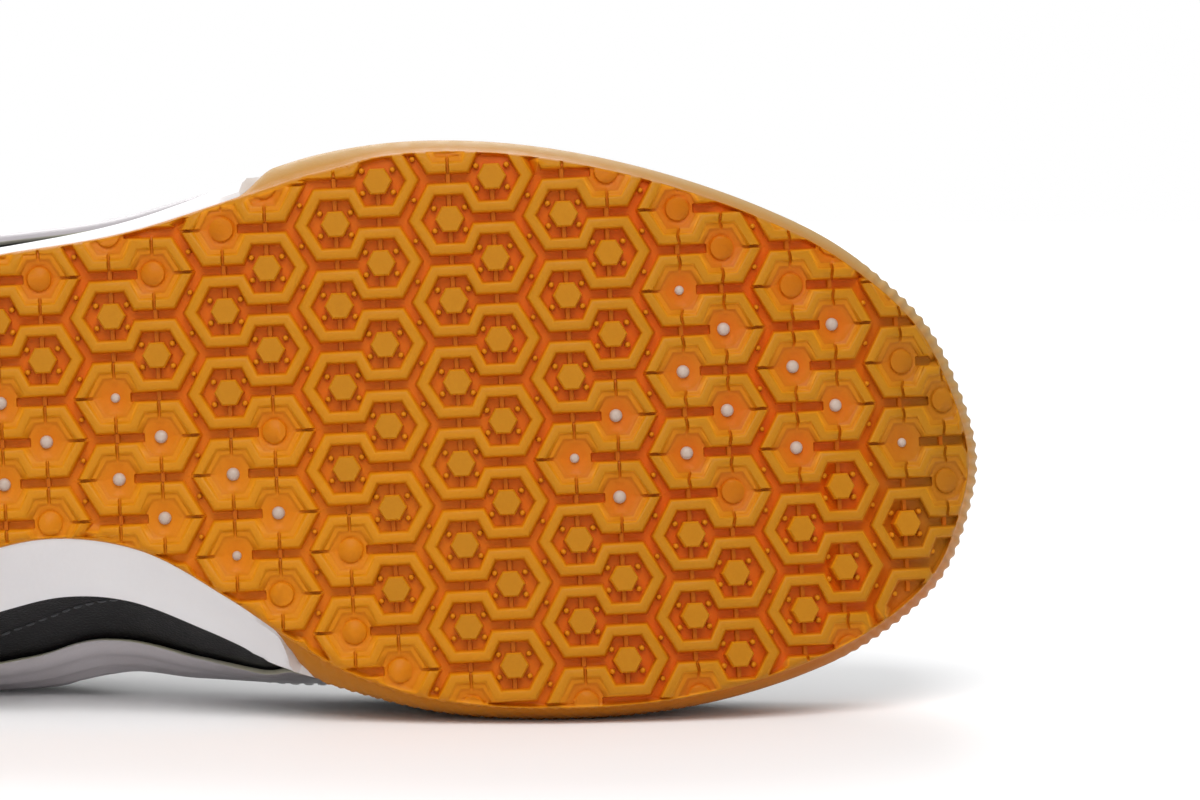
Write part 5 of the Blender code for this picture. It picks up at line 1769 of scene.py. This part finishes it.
class UpperSurface:
    """The upper's outer surface on both sides with its normals, from which every upper piece is cut."""

    edge: float = 0.28  # width of a panel's softened edge

    def __init__(self, spacing: float = 1.3, finer: int = 6) -> None:
        """Lays out the surface.

        Args:
            spacing: distance between rows in millimetres
            finer: steps in each level
        """
        self.finer = finer
        self.stations = upper_stations(spacing)
        self.levels = np.linspace(0, 8, 8 * finer + 1)
        self.points: dict[Side, Array] = {}
        self.normals: dict[Side, Array] = {}
        for side in Side:
            rows = []
            for line in upper_lines(side_rims(self.stations, side)):
                columns = upper_columns(arc_lengths(line)[-1])
                rows.append(resampled(line, np.interp(self.levels, range(9), columns)))
            self.points[side] = np.array(rows)
            self.normals[side] = self._normals(side)
        self._share_seams()
        for side in Side:
            self.points[side] = self.points[side] + self.normals[side] * self._relief(side)[..., None]

    def _normals(self, side: Side) -> Array:
        """Outward normals of one side."""
        forward = np.gradient(self.points[side], axis=0)
        upward = np.gradient(self.points[side], axis=1)
        forward[0] = forward[-1] = 0.0
        forward[0, :, 1], forward[-1, :, 1] = side.value, -side.value
        return unit(np.cross(forward, upward) * -side.value)

    def _share_seams(self) -> None:
        """Where the two sides meet, at heel, toe and ridge, both take the mean of their normals."""
        lateral, medial = (self.normals[side] for side in Side)
        seam = np.zeros(lateral.shape[:2], bool)
        seam[0] = seam[-1] = True
        seam[self.stations >= SIZE.throat_front * SIZE.length - 1e-6, -1] = True
        lateral[seam] = medial[seam] = unit(lateral[seam] + medial[seam])

    def _relief(self, side: Side) -> Array:
        """Creases, a soft fill between the seams and the sewn seam's trough."""
        x, level = np.meshgrid(self.stations, self.levels, indexing="ij")
        relief = sum(crease.relief(x, level) for crease in CREASES)
        fill = 0.22 * np.sin(x / 23.0 + level) * np.sin(x / 9.5 - 1.3 * level)
        relief = relief + fill * ease(level, 0.6, 2.0) * (1 - ease(level, 7.2, 7.9))
        if side is Side.MEDIAL:
            seam = resampled(self.path(side, MEDIAL_SEAM)[0], np.linspace(0, 60, 240))
            points = self.points[side].reshape(-1, 3)
            near = np.full(len(points), 99.0)
            close = np.linalg.norm(points - seam[len(seam) // 2], axis=1) < 60
            gaps = np.linalg.norm(points[close, None] - seam[None], axis=2)
            near[close] = gaps.min(axis=1)
            relief = relief - 0.40 * np.exp(-((near / 0.9) ** 2)).reshape(relief.shape)
        return relief

    def at(self, side: Side, share: Array, level: Array) -> tuple[Array, Array]:
        """Points and normals at these shares of the length and levels."""
        row = np.interp(np.asarray(share) * SIZE.length, self.stations, np.arange(len(self.stations)))
        column = np.clip(np.asarray(level) * self.finer, 0, len(self.levels) - 1)
        i = np.minimum(row.astype(int), len(self.stations) - 2)
        j = np.minimum(column.astype(int), len(self.levels) - 2)
        u, v = (row - i)[..., None], (column - j)[..., None]
        found = []
        for grid in (self.points[side], self.normals[side]):
            low = grid[i, j] * (1 - u) + grid[i + 1, j] * u
            high = grid[i, j + 1] * (1 - u) + grid[i + 1, j + 1] * u
            found.append(low * (1 - v) + high * v)
        return found[0], unit(found[1])

    def path(self, side: Side, corners: Sequence[tuple[float, float]], count: int = 240) -> tuple[Array, Array]:
        """A line on the surface through these shares and levels, with its normals."""
        knots = np.linspace(0, len(corners) - 1, count)
        share, level = (np.interp(knots, range(len(corners)), [c[k] for c in corners]) for k in (0, 1))
        return self.at(side, share, level)

    def sheet(
        self, name: str, sides: Iterable[Side], span: tuple[float, float], levels: tuple[float, float],
        lift: float, wall: float, finishes: Sequence[Material], swell: float = 0.0,
    ) -> Piece:  # fmt: skip
        """A panel of the surface as a closed wall with softened edges.

        Args:
            name: the piece's name
            sides: the sides it covers
            span: first and last share of the length
            levels: lowest and highest level
            lift: how far above the surface its inner face lies
            wall: its thickness, negative to grow it inward
            finishes: its face, its cut edge and its inner face
            swell: height of the soft rolls along a padded band

        Returns:
            The piece.
        """
        shares = self.stations / SIZE.length
        rows = np.nonzero((shares >= span[0] - 1e-8) & (shares <= span[1] + 1e-8))[0]
        columns = np.nonzero((self.levels >= levels[0] - 1e-6) & (self.levels <= levels[1] + 1e-6))[0]
        draft = MeshDraft()
        for side in sides:
            share, level = np.meshgrid(shares[rows], self.levels[columns], indexing="ij")
            points, normals = self.at(side, share, level + (band_drop(share) if swell else 0.0))
            rise = np.full(points.shape[:2], lift)
            if swell:
                up = np.linspace(0, 1, len(columns))[None, :]
                fade = ease(span[1] * SIZE.length - self.stations[rows], 0.0, 30.0)[:, None]
                rise = rise + swell * fade * np.abs(np.sin(3 * math.pi * up)) ** 0.8
            points = points + normals * rise[..., None]
            faces = grid_faces(len(rows), len(columns))
            flat, middle = points.reshape(-1, 3), faces[len(faces) // 2]
            a, b, c = flat[middle[:3]]
            outward = np.cross(b - a, c - a) @ normals.reshape(-1, 3)[middle[0]] > 0
            draft.add(points, faces if outward else faces[:, ::-1])
        piece = draft.build(name, weld=0.01)
        for finish in finishes:
            piece.data.materials.append(finish)
        solid = piece.modifiers.new("wall", "SOLIDIFY")
        solid.thickness, solid.offset = abs(wall) * MM, 1.0 if wall > 0 else -1.0
        solid.use_even_offset = solid.use_quality_normals = True
        solid.material_offset_rim = 1
        solid.material_offset = 2 if len(finishes) > 2 else 0
        bevel = piece.modifiers.new("edge", "BEVEL")
        bevel.width, bevel.segments = self.edge * MM, 2
        bevel.limit_method, bevel.angle_limit = "ANGLE", math.radians(55)
        plain_mesh(piece)
        shade(piece, 50.0)
        return piece


def across_curve(x: float, margin: float) -> Array:
    """Across the throat, medial to lateral, on the upper's surface closed over the gap.

    Args:
        x: distance from the heel tip
        margin: how far down each side it starts

    Returns:
        Points of the curve.
    """
    halves = {}
    for side in Side:
        line = upper_lines(side_rims(np.array([x]), side))[0]
        length = arc_lengths(line)[-1]
        halves[side] = resampled(line, np.linspace(length - margin, length, 6))
    medial, lateral = halves[Side.MEDIAL], halves[Side.LATERAL][::-1]
    gap = np.linalg.norm(lateral[0] - medial[-1])
    if gap < 0.5:
        return np.vstack([medial, lateral[1:]])
    lead, trail = unit(medial[-1:] - medial[-2:-1])[0], unit(lateral[1:2] - lateral[:1])[0]
    middle = bezier(medial[-1], medial[-1] + lead * gap * 0.36, lateral[0] - trail * gap * 0.36, lateral[0], 16)[0]
    return np.vstack([medial, middle[1:-1], lateral])


def across_surface(x: float, margin: float, count: int) -> tuple[Array, Array]:
    """Even points across the throat with the closed surface's outward normals."""
    rows = []
    for place in (x - 1.5, x, x + 1.5):
        line = across_curve(place, margin)
        rows.append(resampled(line, np.linspace(0, arc_lengths(line)[-1], count)))
    normals = unit(np.cross(np.gradient(rows[1], axis=0), rows[2] - rows[0]))
    return rows[1], normals * np.sign(normals[:, 2].sum())


def grounded(points: Array) -> Array:
    """Adds the ground line's height to shoe points."""
    return points + np.column_stack([np.zeros((len(points), 2)), ground(points[:, 0])])


@dataclass
class Upper:
    """Black leather upper with its raised panels, padded collar, tongue, insole and sewn seams."""

    surface: UpperSurface = field(default_factory=UpperSurface)
    stitch_pitch: float = 2.5
    stitch: tuple[float, float, float] = (0.95, 0.27, 0.34)  # half length, half width, height
    roll: float = 2.7  # radius of the collar's padded roll
    band_levels: tuple[float, float] = (2.33, 4.01)
    band_swell: float = 0.9
    lining: tuple[tuple[float, float], ...] = ((0.6, 1.2), (3.0, 1.4), (5.0, 2.6), (6.8, 6.4))  # level, thickness

    def seam(self, spots: Spots, side: Side, corners: Sequence[tuple[float, float]], lift: float) -> None:
        """Adds a row of stitches.

        Args:
            spots: where they are gathered
            side: side of the shoe
            corners: shares and levels that the row passes through
            lift: height of the sewn face above the upper
        """
        line, normals = self.surface.path(side, corners)
        line = grounded(line + normals * lift)
        arcs = arc_lengths(line)
        places = np.arange(0.5 * self.stitch_pitch, arcs[-1], self.stitch_pitch)
        tangents = unit(np.gradient(line, axis=0))
        for point, normal, tangent in zip(*(resampled(v, places, arcs) for v in (line, normals, tangents))):
            tangent = unit((tangent - normal * (tangent @ normal))[None])[0]
            spots.add(point, np.stack([tangent, np.cross(normal, tangent), normal], axis=1), self.stitch)

    def stitches(self) -> None:
        """All the sewn rows: eyestay, counter, bands, collar and the quarter's seam."""
        dark, pale = Spots(), Spots()
        top = SIZE.gap + SIZE.overlay
        low, high = SIZE.throat_back + 0.006, SIZE.eyestay_front - 0.008
        self.seam(dark, Side.MEDIAL, MEDIAL_SEAM, 0.0)
        for side in Side:
            self.seam(dark, side, ((low, 6.25), (high, 6.25), (high, 8.0)), top)
            self.seam(dark, side, ((low, 7.72), (SIZE.throat_front, 7.72)), top)
            front = SIZE.counter_front - 0.006
            self.seam(dark, side, ((0.0, 4.88), (front, 4.88), (front, 0.6)), top)
            self.seam(dark, side, ((0.0, 7.7), (SIZE.throat_back - 0.004, 7.7)), 0.0)
            near, far = SIZE.band_span[0] + 0.005, SIZE.band_span[1] - 0.005
            self.seam(pale, side, [(s, 3.8 + float(band_drop(s))) for s in np.linspace(near, far, 12)], top + 0.1)
        rings = ((1.0, -0.5), (0.95, 0.35), (0.74, 0.75), (0.36, 0.96))
        for name, spots, colour, slot in (
            ("seam_stitches", dark, (0.03, 0.03, 0.033), "black_leather"),
            ("band_stitches", pale, (0.66, 0.64, 0.66), "white_synthetic"),
        ):
            piece = spots.repeat(name, template_piece("stitch", rings, 8), Thread(colour).build(name + "_thread"))
            finish_piece(piece, slot, sharp=80.0)

    def panels(self, leather: Material, lining: Material) -> None:
        """The upper's wall and the raised panels on it."""
        sheet, both = self.surface.sheet, tuple(Side)
        raw = Leather(colour=(0.03, 0.028, 0.03), roughness=0.7, coat=0.0).build("leather_cut_edge")
        piece = sheet("upper_leather", both, (0, 1), (0, 8), 0.0, -SIZE.upper_wall, (leather, raw, lining))
        finish_piece(piece, "black_leather", "upper")
        eyestay = Leather(grain_mm=0.6, roughness=0.34, coat=0.25).build("eyestay_leather")
        counter = Leather(grain_mm=0.7, roughness=0.36, coat=0.2).build("counter_leather")
        for name, span, levels, face, slot in (
            ("eyestay", (SIZE.throat_back, SIZE.eyestay_front), (6, 8), eyestay, "eyestay_leather"),
            ("heel_counter", (0, SIZE.counter_front), (0.33, 5), counter, "counter_leather"),
        ):
            piece = sheet(f"{name}_panel", both, span, levels, SIZE.gap, SIZE.overlay, (face, raw))
            finish_piece(piece, slot, name)
        white = CoatedFabric().build("white_synthetic")
        cut = CoatedFabric(colour=(0.52, 0.50, 0.36)).build("white_synthetic_cut_edge")
        span, levels, swell = SIZE.band_span, self.band_levels, self.band_swell
        for side in Side:
            name = f"side_band_{side.word}"
            piece = sheet(f"{name}_panel", (side,), span, levels, SIZE.gap, SIZE.overlay, (white, cut), swell)
            finish_piece(piece, "white_synthetic", name)

    def collar(self, lining: Material) -> None:
        """Padded roll round the collar with the lining that runs down from it."""
        surface, inside = self.surface, SIZE.upper_wall + SIZE.gap
        rows = np.nonzero(surface.stations <= SIZE.throat_back * SIZE.length + 1e-6)[0]
        low = np.linspace(0.6, 8.0, 15)
        turn = np.linspace(0, math.pi, 11)[1:-1]
        draft = MeshDraft()
        for side in Side:
            loops = []
            for row in rows:
                x = surface.stations[row]
                last = 1 - ease(x, SIZE.throat_back * SIZE.length - 5.0, SIZE.throat_back * SIZE.length)
                radius = self.roll * (0.35 + 0.65 * math.sqrt(last))
                wall = self._inside(side, row, low, np.full(len(low), inside))
                pad = np.interp(low, *zip(*self.lining, (8.0, 2 * self.roll))) * radius / self.roll
                foot = self._inside(side, row, low[::-1], inside + pad[::-1])
                edge, normal = surface.points[side][row, -1], surface.normals[side][row, -1]
                up = unit((edge - surface.points[side][row, -3])[None])[0]
                over = [
                    edge + up * radius * math.sin(t) - normal * (inside + radius * (1 - math.cos(t))) for t in turn
                ]
                loops.append(np.vstack([wall, over, foot]))
            faces = grid_faces(len(rows), len(loops[0]), wrap=True)
            draft.add(np.array(loops), faces)
            draft.add(loops[-1], [tuple(range(len(loops[-1])))])
        piece = turned_outward(draft.build("collar_padding", weld=0.01))
        finish_piece(piece, "dark_textile", finish=lining, sharp=60.0)

    def _inside(self, side: Side, row: int, levels: Array, off: Array) -> Array:
        """Points on the inner side of the wall in one row."""
        share = np.full(len(levels), self.surface.stations[row] / SIZE.length)
        points, normals = self.surface.at(side, share, levels)
        return points - normals * off[:, None]

    def tongue(self) -> None:
        """Padded tongue under the laces, with a sewn border and a free top."""
        depth = SIZE.upper_wall + SIZE.gap + 2 * SIZE.facet_room
        count, rows = 25, []
        back, front = SIZE.throat_back, SIZE.throat_front
        for share in np.linspace(SIZE.eyestay_front + 0.005, back, 60):
            tuck = 0.2 + 0.95 * float(ease(share, back, back + 0.5 * (front - back)))
            points, normals = across_surface(share * SIZE.length, SIZE.eyestay_width * tuck, count)
            rows.append(points - normals * depth)
        last = rows[-1]
        for step in np.linspace(0.05, 1.0, 16):
            row = last.copy()
            middle = last[:, 1].mean()
            narrow = 1 - 0.30 * float(ease(step, 0.0, 0.45))
            rounded = math.sqrt(1 - max(0.0, (step - 0.5) / 0.52) ** 2.6)
            row[:, 1] = middle + (last[:, 1] - middle) * narrow * rounded
            row[:, 2] = last[:, 2].max() - (last[:, 2].max() - last[:, 2]) * (1 - 0.25 * step) + SIZE.tongue_rise * step
            row[:, 0] -= SIZE.tongue_rise * SIZE.tongue_lean * step
            rows.append(row)
        grid = np.array(rows)
        normal = np.cross(np.gradient(grid, axis=1), -np.gradient(grid, axis=0))
        normal = unit(normal) * np.sign(unit(normal)[:50, :, 2].sum())
        across = np.array([arc_lengths(row) for row in grid])
        side_room = np.minimum(across, across[:, -1:] - across)
        run = arc_lengths(grid[:, count // 2])
        top_room = (run[-1] - run)[:, None]
        end_room = np.minimum(np.minimum(run[:, None], top_room), 2.0) / 2.0
        body = np.sqrt(np.clip(1 - (1 - np.clip(side_room / 3.0, 0, 1)) ** 2, 0, 1) * end_room * (2 - end_room))
        border = np.exp(-(((np.minimum(side_room, top_room) - 4.5) / 0.9) ** 2))
        puff = 1.5 * ease(side_room, 12.0, 19.0) + 1.2 * ease(run[:, None], run[-1] - 26.0, run[-1] - 16.0)
        top = grid + normal * (body * (puff - 0.7 * border))[..., None]
        under = grid - normal * (body * SIZE.tongue)[..., None]
        ring = np.concatenate([top, under[:, -2:0:-1]], axis=1)
        draft = MeshDraft()
        draft.add(ring, grid_faces(len(ring), ring.shape[1], wrap=True))
        piece = turned_outward(draft.build("tongue_padding", weld=0.02))
        leather = Leather(grain_mm=0.7, roughness=0.45).build("tongue_leather")
        finish_piece(piece, "tongue_leather", "tongue", finish=leather, sharp=60.0)

    def insole(self, lining: Material) -> None:
        """Removable insole with a rounded rim and a slightly raised border."""
        rims = even_rims(1.6)
        inset = SoleForm.feather_inset(rims) + SIZE.upper_wall + SIZE.gap + SIZE.facet_room + 1.3
        foot = SoleForm.midsole_top(rims) + SIZE.gap
        rim = ((0.4, 0.0), (0.0, 0.5), (0.0, 3.6), (0.4, 4.3), (1.2, 4.6), (2.2, 4.3), (4.5, 3.6), (7.0, SIZE.insole))
        draft = MeshDraft()
        draft.tower([np.column_stack([rims.moved(inset + more), foot + height]) for more, height in rim], rims)
        piece = turned_outward(draft.build("insole_board", weld=0.01))
        finish_piece(piece, "dark_textile", "insole", finish=lining, sharp=50.0)

    def build(self) -> None:
        """Builds the upper's pieces and dresses them."""
        leather, lining = Leather().build("black_leather"), Knit().build("dark_textile")
        self.panels(leather, lining)
        self.collar(lining)
        self.tongue()
        self.insole(lining)
        self.stitches()


@dataclass
class Laces:
    """Flat laces: a straight bar at the toe end, then crossings that stop inside the top eyelets."""

    steps: int = 26
    hole_shift: float = 1.1
    dip: float = 3.6  # how far it goes down through the eyelet
    ring: tuple[tuple[float, float], ...] = (
        (3.1, -0.2), (3.05, 0.28), (2.75, 0.46), (2.2, 0.42), (1.95, 0.1), (1.9, -0.9),
    )  # fmt: skip

    def eyelets(self) -> Array:
        """Distances of the eyelet pairs from the heel tip, toe end first."""
        return np.linspace(SIZE.throat_front - 0.012, SIZE.throat_back + 0.02, SIZE.eyelet_pairs) * SIZE.length

    def strand(self, draft: MeshDraft, start: float, end: float, mirrored: bool, over: float) -> None:
        """One strand from an eyelet on one side to an eyelet on the other.

        Args:
            draft: where it is added
            start: distance of its first eyelet from the heel tip
            end: distance of its last eyelet
            mirrored: whether it starts on the lateral side
            over: how far it arches over the strand below
        """
        shift = self.hole_shift if start != end else 0.0
        start, end = start - shift, end + shift
        path, normals = [], []
        for k in range(self.steps + 1):
            place = start + (end - start) * k / self.steps
            points, ups = across_surface(place, SIZE.eyestay_width * 0.5, 2 * self.steps + 1)
            spot = 2 * (self.steps - k if mirrored else k)
            path.append(points[spot])
            normals.append(ups[spot])
        path, normals = np.array(path), np.array(normals)
        share = np.linspace(0, 1, self.steps + 1)
        arcs = arc_lengths(path)
        ends = np.minimum(arcs, arcs[-1] - arcs)
        lift = 2 * SIZE.gap + SIZE.overlay + SIZE.facet_room - self.dip * (1 - ease(ends, 0.0, 3.8))
        lift = lift + over * np.exp(-(((share - 0.5) / 0.13) ** 2)) - 0.9 * np.sin(math.pi * share)
        middle = path + normals * lift[:, None]
        tangents = unit(np.gradient(middle, axis=0))
        across = unit(np.cross(tangents, normals))
        out = np.cross(across, tangents)
        width = SIZE.lace_width * (0.58 + 0.42 * ease(ends, 0.5, 6.0))
        around = -0.5 * math.pi + 2 * math.pi * np.arange(14) / 14
        flat = np.sign(np.cos(around)) * np.abs(np.cos(around)) ** 0.6
        high = np.sign(np.sin(around)) * np.abs(np.sin(around)) ** 0.7
        rings = (
            middle[:, None]
            + across[:, None] * (0.5 * width[:, None] * flat)[..., None]
            + out[:, None] * (0.5 * SIZE.lace_thick * (1 + high))[..., None]
        )
        u = np.repeat(arcs[:, None], 14, axis=1) / SIZE.lace_width
        v = np.repeat(np.arange(14)[None] / 7, len(arcs), axis=0)
        caps = [tuple(range(14)), tuple(range(len(rings) * 14 - 14, len(rings) * 14))]
        draft.add(rings, [*grid_faces(len(rings), 14, wrap=True), *caps], lace_u=u, lace_v=v)

    def build(self) -> None:
        """Builds laces and eyelets and dresses them."""
        draft, places = MeshDraft(), self.eyelets()
        self.strand(draft, places[0], places[0], False, 0.0)
        for near, far in zip(places, places[1:]):
            self.strand(draft, near, far, False, 0.0)
            self.strand(draft, near, far, True, 1.55)
        piece = turned_outward(draft.build("laces_woven"))
        layer = piece.data.uv_layers.new(name="UVMap")
        corners = np.empty(len(piece.data.loops), np.int32)
        piece.data.loops.foreach_get("vertex_index", corners)
        uv = np.stack([np.concatenate(draft.marks[name])[corners] for name in ("lace_u", "lace_v")], axis=1)
        layer.data.foreach_set("uv", uv.astype(np.float32).ravel())
        finish_piece(piece, "white_lace", "laces", finish=WovenLace().build("white_lace"), sharp=70.0)
        spots = Spots()
        for x in places:
            points, normals = across_surface(float(x), SIZE.eyestay_width * 0.5, 9)
            for point, normal in ((points[0], normals[0]), (points[-1], normals[-1])):
                fore = unit((np.array([1.0, 0.0, 0.0]) - normal * normal[0])[None])[0]
                spot = grounded((point + normal * (SIZE.gap + SIZE.overlay))[None])[0]
                spots.add(spot, np.stack([fore, np.cross(normal, fore), normal], axis=1))
        finish = Leather(roughness=0.3, grain_mm=0.5).build("eyelet_finish")
        eyelets = spots.repeat("eyelet_rings", template_piece("eyelet", self.ring, 20), finish)
        finish_piece(eyelets, "eyestay_leather", sharp=60.0)


def main() -> None:
    """Builds the shoe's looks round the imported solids, one sub-assembly after the other."""
    logging.basicConfig(level=logging.INFO, format="%(message)s")
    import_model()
    for part in (Studio(), Outsole(), Midsole(), Upper(), Laces()):
        part.build()
        LOG.info("built %s", type(part).__name__)


if __name__ == "__main__":
    main()
